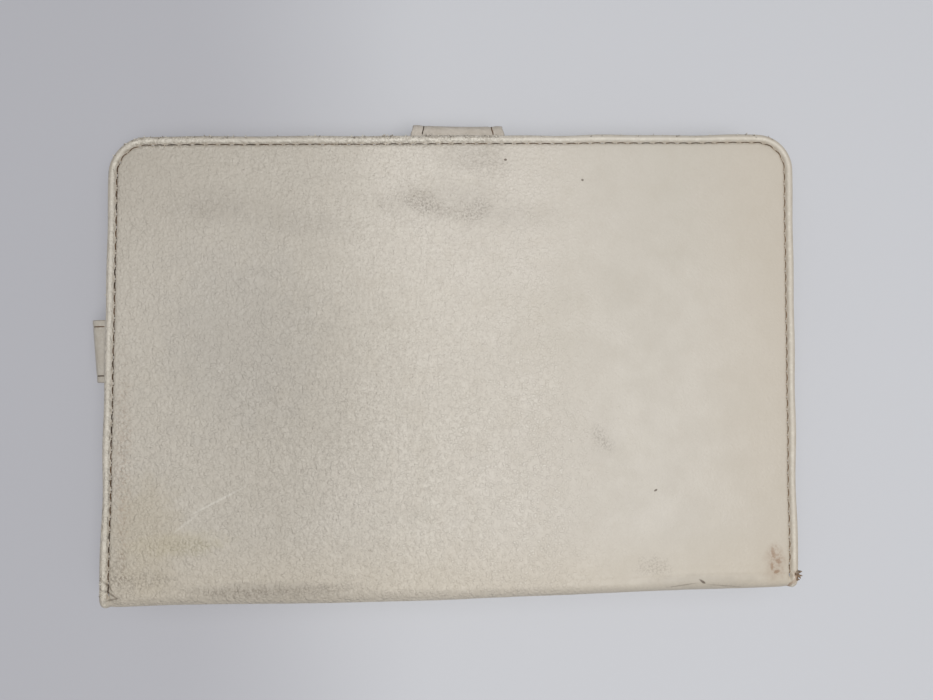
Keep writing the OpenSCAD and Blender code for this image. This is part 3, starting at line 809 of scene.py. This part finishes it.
def leather_depth(front):
    def depth(x, v):
        level = face_depth(x, v, front)
        if front:
            mask = seat_mask(x, v)
            level = level * (1 - mask) + SEAT_DEPTH * mask
        return level
    return depth


def lining_depth(x, v):
    s = inset_of(x, v)
    return COVER_T + 0.12 - 0.2 * bell(s, SEAM_INSET, 0.6) + 0.04 * waves(x, v, 16, 91) * smooth(3, 9, s)


def bend_at_fold(piece, front):
    """Bakes the piece's placement into its mesh, the same for either cover."""
    if front:
        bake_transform(piece)
    else:
        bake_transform(piece)


# ---------------------------------------------------------------- sewing
def tube(points, normals, radius, sides=7):
    """Rings round a polyline, its ends drawn in. Returns (points, faces)."""
    points = np.asarray(points, float)
    tangents = np.gradient(points, axis=0)
    tangents /= np.linalg.norm(tangents, axis=1)[:, None]
    normals = np.broadcast_to(np.asarray(normals, float), points.shape)
    across = np.cross(tangents, normals)
    across /= np.linalg.norm(across, axis=1)[:, None]
    up = np.cross(across, tangents)
    rings = []
    for i, (p, a, u) in enumerate(zip(points, across, up)):
        share = 0.35 if i in (0, len(points) - 1) else 1.0
        for k in range(sides):
            angle = 2 * math.pi * k / sides
            rings.append(p + radius * share * (math.cos(angle) * a + math.sin(angle) * u))
    faces = grid_faces(len(points), sides, wrap=True)
    faces.append(tuple(range(sides))[::-1])
    faces.append(tuple(range((len(points) - 1) * sides, len(points) * sides)))
    return np.array(rings), faces


def join_shapes(name, shapes):
    """One piece of many (points, faces) shapes."""
    points, faces, first = [], [], 0
    for p, f in shapes:
        points.append(p)
        faces += [tuple(i + first for i in face) for face in f]
        first += len(p)
    return make_piece(name, np.concatenate(points), faces, merge=1e-6)


def stitch_shapes(place, count, step, normal_at, style, random, skip=None):
    """Stitches along a line. place(s, lift) gives the point at arc length s, lift above the skin.

    style(s) gives a thread's radius, its height and the share of the step that it shows.
    """
    threads, holes = [], []
    for i in range(count):
        middle = (i + 0.5) * step + random.uniform(-0.12, 0.12)
        if skip is not None and skip(middle):
            continue
        radius, proud, shown = style(middle)
        half = 0.5 * step * shown * random.uniform(0.92, 1.04)
        share = np.linspace(-1, 1, 7)
        lift = proud * (1 - np.abs(share) ** 4 * 2.0)
        points = np.array([place(middle + half * t, h) for t, h in zip(share, lift)])
        threads.append(tube(points, normal_at(middle), radius * random.uniform(0.9, 1.1)))
        for end in (-1, 1):
            mouth = place(middle + end * (half + 0.02), 0.05)
            holes.append(dimple(mouth, normal_at(middle), 0.38 * random.uniform(0.85, 1.1)))
    return threads, holes


def dimple(centre, normal, radius, sides=9):
    """A small flat dome, the mouth of a needle hole."""
    normal = np.asarray(normal, float) / np.linalg.norm(normal)
    side = np.cross(normal, (1, 0, 0)) if abs(normal[0]) < 0.8 else np.cross(normal, (0, 1, 0))
    side /= np.linalg.norm(side)
    other = np.cross(normal, side)
    rings = [centre + 0.07 * normal]
    for share, height in ((0.55, 0.05), (1.0, -0.04), (0.6, -0.12)):
        for k in range(sides):
            angle = 2 * math.pi * k / sides
            rings.append(centre + radius * share * (math.cos(angle) * side + math.sin(angle) * other)
                         + height * normal)
    rings.append(centre - 0.14 * normal)
    faces = [(0, 1 + k, 1 + (k + 1) % sides) for k in range(sides)]
    faces += grid_faces(3, sides, first=1, wrap=True)
    last = len(rings) - 1
    faces += [(last, last - 1 - (k + 1) % sides, last - 1 - k) for k in range(sides)]
    return np.array(rings), faces


def cover_seam(front, inside, seed):
    """(threads, holes) of a cover's seam, on its outer face or on its lining."""
    random = np.random.RandomState(seed)
    up = (-1 if front else 1) * (-1 if inside else 1)

    def place(s, lift):
        x, v = seam_point(s)
        if inside:
            depth = lining_depth(x, v) + lift
        else:
            depth = face_depth(np.float64(x), np.float64(v), front) - lift
        return on_shell(x, v, depth, front)

    def in_seat(s):
        x, v = seam_point(s)
        return front and not inside and v < CORNER_R and abs(x - SEAT_X) < SEAT_HALF + 1.6

    def style(s):
        on_top = SEAM_SIDE + 0.4 * SEAM_ARC < s < SEAM_LENGTH - SEAM_SIDE - 0.4 * SEAM_ARC
        if on_top:
            return 0.13, 0.16, 0.95
        return (0.17, 0.17, 0.66) if s < SEAM_LENGTH / 2 else (0.13, 0.16, 0.72)

    return stitch_shapes(place, SEAM_COUNT, SEAM_STEP, lambda s: (0, 0, up), style, random, in_seat)


def flake_shapes(stretches, seed):
    """Torn flakes of the coating that curl off the rim. stretches are (start, end, count, size)."""
    random = np.random.RandomState(seed)
    shapes = []
    for start, end, count, size in stretches:
        for s in random.uniform(start, end, count):
            x, v = seam_point(s)
            ahead, behind = seam_point(s + 0.3), seam_point(s - 0.3)
            out = np.array([ahead[1] - behind[1], ahead[0] - behind[0]])
            out /= np.linalg.norm(out)
            reach = SEAM_INSET - random.uniform(0.25, 1.3)
            base = on_shell(x + out[0] * reach, v - out[1] * reach, random.uniform(-0.12, 0.25))
            turn = random.uniform(-1.1, 1.1)
            along = np.array([out[0] * math.cos(turn) - out[1] * math.sin(turn),
                              out[0] * math.sin(turn) + out[1] * math.cos(turn),
                              random.uniform(-0.1, 0.35)])
            across = np.cross(along, (0, 0, 1))
            across /= np.linalg.norm(across)
            shapes.append(flake(base, along, across, size * random.uniform(0.5, 1.2), random))
    return shapes


def flake(base, along, across, length, random):
    """One flake: a tapering strip with a ragged outline that curls up at its end."""
    width, curl = length * random.uniform(0.3, 0.55), length * random.uniform(0.05, 0.35)
    points = []
    for side in (0.05, -0.05):
        for t in np.linspace(-0.25, 1, 5):
            half = width * (1 - 0.75 * max(t, 0)) * random.uniform(0.7, 1.25)
            middle = base + along * length * t + np.array([0, 0, curl * t * t + side])
            points += [middle - half * across, middle, middle + half * across]
    faces = grid_faces(5, 3) + [face[::-1] for face in grid_faces(5, 3, first=15)]
    rim = [0, 1, 2, 5, 8, 11, 14, 13, 12, 9, 6, 3]
    faces += [(a, b, b + 15, a + 15) for a, b in zip(rim, rim[1:] + rim[:1])]
    return np.array(points), faces


# ---------------------------------------------------------------- straps
def resample(corners, step):
    """A polyline through corners, with points about every step."""
    corners = np.asarray(corners, float)
    lengths = np.r_[0, np.cumsum(np.linalg.norm(np.diff(corners, axis=0), axis=1))]
    count = max(2, int(round(lengths[-1] / step)) + 1)
    places = np.linspace(0, lengths[-1], count)
    return np.stack([np.interp(places, lengths, corners[:, i]) for i in range(corners.shape[1])], 1)


def arc(centre, radius, start, end, count=9):
    angles = np.radians(np.linspace(start, end, count))
    return np.stack([centre[0] + radius * np.cos(angles), centre[1] + radius * np.sin(angles)], 1)


def strap_frame(path):
    """Unit tangents and outward normals of a path in its own plane."""
    tangent = np.gradient(path, axis=0)
    tangent /= np.linalg.norm(tangent, axis=1)[:, None]
    return tangent, np.stack([-tangent[:, 1], tangent[:, 0]], 1)


def strap_ring(half_width, thickness, seam_inset):
    """(across, out, cut edge) round a strap's section: two glued layers with a pressed seam."""
    r = thickness / 2
    ease = 0.3
    across = np.linspace(-(half_width - ease), half_width - ease, 33)
    seam = half_width - seam_inset
    dip = 0.20 * (bell(across, -seam, 0.45) + bell(across, seam, 0.45))
    edge = 0.08 * (bell(across, -(half_width - 1.6), 0.8) + bell(across, half_width - 1.6, 0.8))
    top = np.stack([across, r - dip + edge, 0 * across], 1)
    corner = [(half_width - ease * (1 - math.sin(a)), r - ease * (1 - math.cos(a)), 0.5)
              for a in (0.5, 1.05, 1.57)]
    notch = [(half_width, 0.35 * r, 1), (half_width - 0.14, 0.0, 1)]
    right = np.array(corner + notch)
    right = np.vstack([right, (right * (1, -1, 1))[-2::-1]])
    bottom = np.stack([across[::-1], np.full(len(across), -r) + dip[::-1] * 0.6, 0 * across], 1)
    return np.concatenate([top, right, bottom, (right * (-1, 1, 1))[::-1]])


def sweep_strap(name, path, half_widths, thickness, seam_inset, to_space):
    """A flat strap swept along path. to_space turns (across, plane point) into the frame."""
    _, normal = strap_frame(path)
    points, cut = [], []
    for p, n, half in zip(path, normal, half_widths):
        ring = strap_ring(half, thickness, seam_inset)
        plane = p + ring[:, 1:2] * n
        points.append(to_space(ring[:, 0], plane))
        cut.append(ring[:, 2])
    columns = len(points[0])
    faces = grid_faces(len(path), columns, wrap=True)
    faces.append(tuple(range(columns))[::-1])
    faces.append(tuple(range((len(path) - 1) * columns, len(path) * columns)))
    return make_piece(name, np.concatenate(points), faces, {"cut_edge": np.concatenate(cut)}, merge=1e-5)


STRAP_T = PAD_HIGH[2] - PAD_LOW[2]
STRAP_HALF_W = (STRAP_HIGH[0] - STRAP_LOW[0]) / 2
STRAP_SEAM = 3.3
STRAP_OUT_Y = STRAP_HIGH[1] - STRAP_T / 2     # middle of the strap's thickness where it hangs
STRAP_MID_Z = 9.5
PAD_TIP_R = 5.0


def strap_to_space(across, plane):
    """The strap hangs a little hollow across its width, and less far out at its right."""
    share = across / STRAP_HALF_W
    hangs = smooth(EDGE_Y + 0.5, STRAP_OUT_Y, plane[:, 0]) * smooth(0.5, 4, plane[:, 1])
    y = plane[:, 0] - hangs * (0.32 * (1 - share ** 2) + 0.22 * (share + 1))
    flare = 1 + 0.045 * smooth(STRAP_MID_Z + 3, STRAP_AXIS[2], plane[:, 1]) * (1 - hangs)
    return lean(np.stack([SEAT_X + across * flare, y + 0 * across, plane[:, 1] + 0 * across], 1))


def strap_paths():
    """Middle line of the strap in (y, z): from inside the cover to its middle, then to its tip."""
    r = 1.3
    z = STRAP_AXIS[2]
    upper = np.concatenate([[(EDGE_Y - 3.0, z + 0.3), (EDGE_Y, z + 0.2)],
                            arc((STRAP_OUT_Y - r, z - r), r, 90, 0),
                            [(STRAP_OUT_Y + 0.15, z - 5), (STRAP_OUT_Y + 0.1, STRAP_MID_Z)]])
    low = STRAP_END_AXIS[2]
    lower = np.concatenate([[(STRAP_OUT_Y + 0.1, STRAP_MID_Z), (STRAP_OUT_Y, 4.5)],
                            arc((STRAP_OUT_Y - 1.15, low + 1.15), 1.15, 0, -90),
                            [(PAD_LOW[1] + 0.1, low)]])
    return resample(upper, 0.45), resample(lower, 0.45)


def tip_widths(path, half_width, radius):
    """Half widths along a path whose end is rounded."""
    steps = np.r_[0, np.cumsum(np.linalg.norm(np.diff(path, axis=0), axis=1))]
    left = steps[-1] - steps
    inside = np.clip(radius - left, 0, radius)
    return half_width - radius + np.sqrt(np.maximum(radius ** 2 - inside ** 2, 0.02))


def strap_row(path, side_x, thickness, to_space, random, trim=(0, 0), outward=1):
    """Threads along a strap at side_x. Its outer face is on the path's left for outward 1."""
    steps = np.r_[0, np.cumsum(np.linalg.norm(np.diff(path, axis=0), axis=1))]
    normal = outward * strap_frame(path)[1]
    length = steps[-1] - sum(trim)
    count = max(1, round(length / 3.4))

    def at(s, values):
        return np.array([np.interp(s + trim[0], steps, values[:, i]) for i in range(2)])

    def place(s, lift):
        plane = at(s, path) + at(s, normal) * (thickness / 2 - 0.18 + lift)
        return to_space(np.array([side_x]), plane[None])[0]

    def up(s):
        n = at(s, normal)
        origin = to_space(np.array([0.0]), np.zeros((1, 2)))[0]
        direction = to_space(np.array([0.0]), n[None])[0] - origin
        return direction / np.linalg.norm(direction)

    return stitch_shapes(place, count, length / count, up, lambda s: (0.16, 0.17, 0.9), random)[0]


# ---------------------------------------------------------------- the sleeve
def rounded_loop(low, high, radius, side=(40, 26), corner=9):
    """Points round a rounded rectangle, the same number on each matching side and corner."""
    points = []
    corners = [(high[0], high[1], 0), (low[0], high[1], 90), (low[0], low[1], 180), (high[0], low[1], 270)]
    for k, (x, y, turn) in enumerate(corners):
        cx = x - math.copysign(radius, x - (low[0] + high[0]) / 2)
        cy = y - math.copysign(radius, y - (low[1] + high[1]) / 2)
        bend = arc((cx, cy), radius, turn, turn + 90, corner)
        points.append(bend)
        nx, ny, _ = corners[(k + 1) % 4]
        mx = nx - math.copysign(radius, nx - (low[0] + high[0]) / 2)
        my = ny - math.copysign(radius, ny - (low[1] + high[1]) / 2)
        following = arc((mx, my), radius, turn + 90, turn + 90, 1)[0]
        share = np.linspace(0, 1, side[k % 2] + 2)[1:-1, None]
        points.append(bend[-1] * (1 - share) + following * share)
    return np.concatenate(points)


WINDOW_LOW, WINDOW_HIGH = np.array([-78.0, -48.0]), np.array([78.0, 48.0])
WINDOW_R, FRAME_R, FRAME_SEAM = 4.0, 5.0, 2.5


def frame_ring():
    """Closed section of the sleeve's frame: (share of the width, fixed inset, height)."""
    face = FRAME_LOW[2]
    top = LINER_TOP
    half = [(0.0, 0.0, face + 1.2), (0, 0.12, face + 0.5), (0, 0.5, face + 0.12), (0, 1.2, face),
            (0, 1.8, face + 0.10), (0, 2.2, face + 0.28), (0, 2.5, face + 0.36), (0, 2.8, face + 0.28),
            (0, 3.3, face + 0.12), (0, 4.2, face + 0.0), (0.35, 2.4, face - 0.08), (0.5, 0, face - 0.1)]
    back = [(0.5, 0, top), (0.2, 0.6, top), (0, 1.0, top - 0.05), (0, 0.25, top - 0.3),
            (0, 0.05, top - 0.7)]
    return half, back


def sleeve_frame_piece():
    outer = rounded_loop(FRAME_LOW[:2], FRAME_HIGH[:2], FRAME_R)
    inner = rounded_loop(WINDOW_LOW, WINDOW_HIGH, WINDOW_R)
    gap = np.linalg.norm(inner - outer, axis=1)[:, None]
    half, back = frame_ring()
    rings = []
    for share, inset, z in half:
        rings.append((share * gap + inset * (1 - share), z))
    for share, inset, z in reversed(half[:-1]):
        rings.append((gap - (share * gap + inset * (1 - share)), z))
    for share, inset, z in reversed(back):
        rings.append((gap - (share * gap + inset * (1 - share)), z))
    for share, inset, z in back[1:]:
        rings.append((share * gap + inset * (1 - share), z))
    points = []
    for inset, z in rings:
        plan = outer + (inner - outer) * inset / gap
        relief = 0.05 * waves(plan[:, 0], plan[:, 1], 12, 7)
        points.append(np.column_stack([plan, np.full(len(plan), z) + relief * (z < LINER_TOP - 1)]))
    columns = len(outer)
    faces = grid_faces(len(rings), columns, wrap=True)
    last = (len(rings) - 1) * columns
    faces += [(last + j, last + (j + 1) % columns, (j + 1) % columns, j) for j in range(columns)]
    # mask for the painted shade along the frame's seam grooves
    groove = np.repeat([float(abs(min(np.min(i), np.min(gap - i)) - FRAME_SEAM) < 0.35)
                        for i, _ in rings], columns)
    rim = np.repeat([float(min(np.min(i), np.min(gap - i)) < 1.4) for i, _ in rings], columns)
    return make_piece("sleeve_frame", np.concatenate(points), faces, {"groove": groove, "rim": rim})


def loop_seam(low, high, radius, z, normal, random):
    """Threads of the stitches round a rounded rectangle."""
    loop = rounded_loop(low, high, radius)
    closed = np.vstack([loop, loop[:1]])
    steps = np.r_[0, np.cumsum(np.linalg.norm(np.diff(closed, axis=0), axis=1))]
    count = round(steps[-1] / STITCH_PITCH)

    def place(s, lift):
        s = s % steps[-1]
        return np.array([np.interp(s, steps, closed[:, 0]), np.interp(s, steps, closed[:, 1]),
                         z + lift * normal])

    return stitch_shapes(place, count, steps[-1] / count, lambda s: (0, 0, normal),
                         lambda s: (0.17, 0.17, 0.75), random)[0]


def gusset_piece():
    """The sleeve's three side walls as one folded strip of leather that bows outwards."""
    y = (WALL_LOW[1] + WALL_HIGH[1]) / 2
    x = (END_WALL_LOW[0] + END_WALL_HIGH[0]) / 2
    r = 4.0
    plan = np.concatenate([[(WALL_LOW[0], y)], arc((x - r, y - r), r, 90, 0),
                           arc((x - r, -y + r), r, 0, -90), [(WALL_LOW[0], -y)]])
    plan = resample(plan, 1.5)
    _, normal = strap_frame(plan)
    steps = np.r_[0, np.cumsum(np.linalg.norm(np.diff(plan, axis=0), axis=1))]
    heights = np.linspace(LINER_TOP, BACK_Z, 11)
    t = (heights - heights[0]) / (heights[-1] - heights[0])
    layers = []
    for offset in (0.45, -0.45):
        rows = []
        for z, share in zip(heights, t):
            bow = math.sin(math.pi * share) * (1.0 + 0.35 * waves(steps, z * 1.5, 17, 23))
            shift = (offset + bow)[:, None] * normal
            rows.append(np.column_stack([plan + shift, np.full(len(plan), z)]))
        layers.append(rows)
    section = layers[0] + layers[1][::-1]
    columns = len(plan)
    faces = grid_faces(len(section), columns)
    last = (len(section) - 1) * columns
    faces += [(last + j, last + j + 1, j + 1, j) for j in range(columns - 1)]
    for column in (0, columns - 1):
        faces.append(tuple(i * columns + column for i in range(len(section))))
    return make_piece("sleeve_gusset", np.concatenate(section), faces)


# ---------------------------------------------------------------- build: covers and linings
LEATHER_WORN = cover_leather("cream_pebbled_leather_worn", True)
LEATHER = cover_leather("cream_pebbled_leather", False)
STRAP_LEATHER = strap_leather("strap_leather", srgb(190, 182, 171))
# the tab's leather is a darker copy of the strap's: painted shade, as the tab lies lower, under the lid's
# edge
TAB_LEATHER_SHADED = strap_leather("tab_leather", srgb(176, 170, 160))
LINING = lining_cloth("microfibre_lining")
LINING_CAD = lining_cloth("microfibre_lining_cad", "object")
THREAD = thread_material("brown_thread")
HOLE_SHADE = hole_shade_material("needle_hole_shade")

back_shell = shell_piece("back_cover_leather", False, leather_profile(), leather_depth(False), LEATHER_T, 1)
dress(back_shell, LEATHER_WORN)
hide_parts("back_outer_leather", "spine_outer_leather")
bend_at_fold(back_shell, False)

front_shell = shell_piece("front_cover_leather", True, leather_profile(), leather_depth(True), LEATHER_T, -1)
dress(front_shell, LEATHER)
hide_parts("front_outer_leather")
bend_at_fold(front_shell, True)

LINING_PROFILE = [(i, None) for i in FACE_INSETS[:-1]]
for title, is_front, up in (("back", False, -1), ("front", True, 1)):
    lining = shell_piece(f"{title}_cover_lining", is_front, LINING_PROFILE, lining_depth, LINING_T, up)
    dress(lining, LINING)
    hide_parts(f"{title}_lining")
    bend_at_fold(lining, is_front)
    if not is_front:
        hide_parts("spine_lining")

for title, is_front in (("back", False), ("front", True)):
    for place_name, is_inside in (("face", False), ("lining", True)):
        threads, holes = cover_seam(is_front, is_inside, 5 + 2 * is_front + is_inside)
        seam = dress(join_shapes(f"{title}_{place_name}_stitches", threads), THREAD)
        bend_at_fold(seam, is_front)
        # dark discs of painted shade at the needle holes
        pits = dress(join_shapes(f"{title}_{place_name}_needle_holes", holes), HOLE_SHADE)
        bend_at_fold(pits, is_front)
        if not is_inside:
            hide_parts(f"{title}_edge_stitching")


def top_seam(x):
    """Arc length along the seam where it passes x on the closure edge."""
    return SEAM_SIDE + SEAM_ARC + HALF_L - CORNER_R + x


FRAYED = [(-0.5, 6, 12, 0.5), (SEAM_SIDE - 36, SEAM_SIDE - 32, 2, 0.6),
          (SEAM_SIDE + 4, top_seam(-62), 40, 0.5), (top_seam(-58), top_seam(-34), 16, 0.4),
          (top_seam(-33), top_seam(16), 60, 0.6), (top_seam(20), top_seam(80), 18, 0.4),
          (top_seam(84), top_seam(95), 12, 0.5), (SEAM_LENGTH - 1.5, SEAM_LENGTH + 1.0, 14, 1.0)]
flakes = dress(join_shapes("rim_flakes", flake_shapes(FRAYED, 19)), flake_material("flaked_coating"))
bend_at_fold(flakes, False)

# ---------------------------------------------------------------- build: closure strap
upper_path, lower_path = strap_paths()
strap_upper = sweep_strap("closure_strap_upper", upper_path, [STRAP_HALF_W] * len(upper_path),
                          STRAP_T, STRAP_SEAM, strap_to_space)
dress(strap_upper, STRAP_LEATHER)
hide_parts("strap_outer_leather", "strap_inner_leather")
SWING_START = np.array([SEAT_X, EDGE_Y + 0.2, STRAP_AXIS[2]]) * MM
SWING_END = np.array([SEAT_X, STRAP_OUT_Y + 0.6, STRAP_AXIS[2] - 2.4]) * MM
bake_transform(strap_upper)

strap_lower = sweep_strap("closure_strap_end", lower_path, tip_widths(lower_path, STRAP_HALF_W, PAD_TIP_R),
                          STRAP_T, STRAP_SEAM, strap_to_space)
dress(strap_lower, STRAP_LEATHER)
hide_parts("strap_end_outer_leather", "strap_end_inner_leather")
CURL_START = np.array([SEAT_X, STRAP_OUT_Y, STRAP_END_AXIS[2] + 2.6]) * MM
CURL_END = np.array([SEAT_X, STRAP_OUT_Y - 2.6, STRAP_END_AXIS[2]]) * MM
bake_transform(strap_lower)

for title, path, bodies, ends, trim, stands_for in (
        ("upper", upper_path, ("back_cover", "closure_strap"), (SWING_START, SWING_END), (2.9, 0),
         "strap_stitching"),
        ("lower", lower_path, ("closure_strap", "strap_end"), (CURL_START, CURL_END), (0, 4.2),
         "strap_end_stitching")):
    strap_random = np.random.RandomState(40 + len(title))
    shapes = []
    for side_x in (-(STRAP_HALF_W - STRAP_SEAM), STRAP_HALF_W - STRAP_SEAM):
        shapes += strap_row(path, side_x, STRAP_T, strap_to_space, strap_random, trim)
    row = dress(join_shapes(f"strap_{title}_stitches", shapes), THREAD)
    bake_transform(row)
    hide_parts(stands_for)

# ---------------------------------------------------------------- build: sleeve tab
TAB_T = 1.6
TAB_HALF_W = (TAB_HIGH[1] - TAB_LOW[1]) / 2
TAB_Y = (TAB_HIGH[1] + TAB_LOW[1]) / 2
TAB_OUT = TAB_LOW[0] + TAB_T / 2
TAB_SEAM = 2.0
TAB_TIP_R = 2.0
TAB_TRIM = (7.0, 1.5)      # stretches of the tab's line without stitches: inside the cover, at its tip


def tab_to_space(across, plane):
    """The tab stands out more at its closure-edge end, as the worn one does."""
    twist = -0.9 * (across / TAB_HALF_W) * smooth(0.5, 4, -HALF_L - plane[:, 0] * 1.0)
    return lean(np.stack([plane[:, 0] + twist, TAB_Y + across, plane[:, 1]], 1))


def tab_path():
    r = 1.1
    z = TAB_AXIS[2]
    path = np.concatenate([[(-HALF_L + 6, z + 0.1), (-HALF_L, z)],
                           arc((TAB_OUT + r, z - r), r, 90, 180),
                           [(TAB_OUT + 0.25, z - 4.2), (TAB_AXIS[0] - 1.0, TAB_LOW[2] + 2.5),
                            (TAB_AXIS[0] - 0.6, TAB_LOW[2])]])
    return resample(path, 0.4)


tab_line = tab_path()
sleeve_tab = sweep_strap("sleeve_tab_strip", tab_line, tip_widths(tab_line, TAB_HALF_W, TAB_TIP_R),
                         TAB_T, TAB_SEAM, tab_to_space)
dress(sleeve_tab, TAB_LEATHER_SHADED)
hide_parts("sleeve_tab_leather", "sleeve_tab_backing")
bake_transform(sleeve_tab)
tab_random = np.random.RandomState(61)
tab_threads = []
for across in (-(TAB_HALF_W - TAB_SEAM), TAB_HALF_W - TAB_SEAM):
    tab_threads += strap_row(tab_line, across, TAB_T, tab_to_space, tab_random, TAB_TRIM, outward=-1)
tab_row = dress(join_shapes("sleeve_tab_stitches", tab_threads), THREAD)
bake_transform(tab_row)
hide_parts("sleeve_tab_stitching")

# ---------------------------------------------------------------- build: sleeve
sleeve_frame = dress(sleeve_frame_piece(), LEATHER)
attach(sleeve_frame, "back_cover")
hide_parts("sleeve_frame_leather", "sleeve_frame_liner")
sleeve_random = np.random.RandomState(77)
for title, low, high, radius, node in (
        ("window", WINDOW_LOW - FRAME_SEAM, WINDOW_HIGH + FRAME_SEAM, WINDOW_R + FRAME_SEAM,
         "sleeve_window_stitching"),
        ("outer", FRAME_LOW[:2] + FRAME_SEAM, FRAME_HIGH[:2] - FRAME_SEAM, FRAME_R - FRAME_SEAM,
         "sleeve_outer_stitching")):
    threads = loop_seam(low, high, radius, FRAME_LOW[2] + 0.34, -1, sleeve_random)
    seam = dress(join_shapes(f"sleeve_{title}_stitches", threads), THREAD)
    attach(seam, "back_cover")
    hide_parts(node)
gusset = dress(gusset_piece(), LEATHER)
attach(gusset, "back_cover")
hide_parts("sleeve_wall_closure_side", "sleeve_wall_spine_side", "sleeve_wall_far_end")

# ---------------------------------------------------------------- build: spine board
def spine_board_piece():
    """The spine's board, which leans with the leather round it."""
    low, high = box_mm("spine_stiffener_board")
    ease = 0.12
    x = np.linspace(low[0] + 0.3, high[0] - 0.3, 41)
    corners = [(low[1] + ease, low[2]), (low[1], low[2] + ease), (low[1], high[2] - ease),
               (low[1] + ease, high[2]), (high[1] - ease, high[2]), (high[1], high[2] - ease),
               (high[1], low[2] + ease), (high[1] - ease, low[2])]
    points = np.array([[(px, y, z) for y, z in corners] for px in x])
    faces = grid_faces(len(x), len(corners), wrap=True)
    last = (len(x) - 1) * len(corners)
    faces += [tuple(range(len(corners))), tuple(range(last, last + len(corners)))]
    return make_piece("spine_board", lean(points), faces, merge=1e-5)


BOARD = board_material("grey_board")
spine_board = dress(spine_board_piece(), BOARD)
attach(spine_board, "spine")
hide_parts("spine_stiffener_board")

# ---------------------------------------------------------------- CAD nodes that stay
KEPT = {
    "foam": (foam_material("grey_foam"), ["front_foam_padding", "back_foam_padding"]),
    "board": (BOARD, ["front_stiffener_board", "back_stiffener_board", "sleeve_frame_board"]),
    "steel": (metal_material("brushed_steel", (0.55, 0.56, 0.58), 0.4), ["latch_steel_plate"]),
    "magnet": (metal_material("nickel", (0.62, 0.62, 0.64), 1.5), ["strap_end_magnets"]),
    "hook_and_loop": (hook_material("hook_and_loop"),
                      ["sleeve_loop_patch", "sleeve_tab_hook_patch"]),
    "tails": (LINING_CAD, ["strap_root_tail", "sleeve_tab_root_tail"]),
}
for material, names in KEPT.values():
    for node_name in names:
        node = frame["nodes"][node_name]
        node.data.materials.clear()
        node.data.materials.append(material)

# ---------------------------------------------------------------- stage, light and camera
floor_mesh = bpy.data.meshes.new("floor")
FLOOR_HALF = 1.5       # metres
FLOOR_Z = -0.3         # just below the case, so that the two never flicker
floor_mesh.from_pydata([(-FLOOR_HALF, -FLOOR_HALF, 0), (FLOOR_HALF, -FLOOR_HALF, 0),
                        (FLOOR_HALF, FLOOR_HALF, 0), (-FLOOR_HALF, FLOOR_HALF, 0)], [], [(0, 1, 2, 3)])
floor = bpy.data.objects.new("floor", floor_mesh)
floor.location.z = FLOOR_Z * MM
floor_mesh.materials.append(floor_material("pale_table"))
bpy.context.scene.collection.objects.link(floor)


def area_light(name, place, size, power, color):
    """A square soft light that looks at the origin. Lengths are metres, power is watts."""
    light = bpy.data.lights.new(name, "AREA")
    light.size = size
    light.energy = power
    light.color = color
    lamp = bpy.data.objects.new(name, light)
    lamp.location = place
    lamp.rotation_euler = (-Vector(place)).to_track_quat("-Z", "Y").to_euler()
    bpy.context.scene.collection.objects.link(lamp)


area_light("key", (0.18, -0.14, 1.05), 0.5, 6.0, (1.0, 0.99, 0.97))
area_light("overhead", (-0.03, 0.0, 1.3), 1.4, 6.2, (0.99, 0.995, 1.0))
world = bpy.data.worlds.new("studio")
bpy.context.scene.world = world
world.use_nodes = True
world.node_tree.nodes["Background"].inputs["Color"].default_value = (0.93, 0.95, 1.0, 1)
world.node_tree.nodes["Background"].inputs["Strength"].default_value = 0.30
bpy.context.scene.view_settings.view_transform = "Standard"

EYE_PLACE = (-0.00726, -0.00467, 0.2449)      # metres, nearly straight above the case
EYE_TURN = (2.305, -2.583, -0.446)            # degrees
LENS, SENSOR = 29.33, 36.0
camera = bpy.data.cameras.new("camera")
camera.sensor_width = SENSOR
camera.lens = LENS
eye = bpy.data.objects.new("camera", camera)
eye.location = EYE_PLACE
eye.rotation_euler = tuple(math.radians(a) for a in EYE_TURN)
camera.clip_start = 0.01
bpy.context.scene.collection.objects.link(eye)
bpy.context.scene.camera = eye
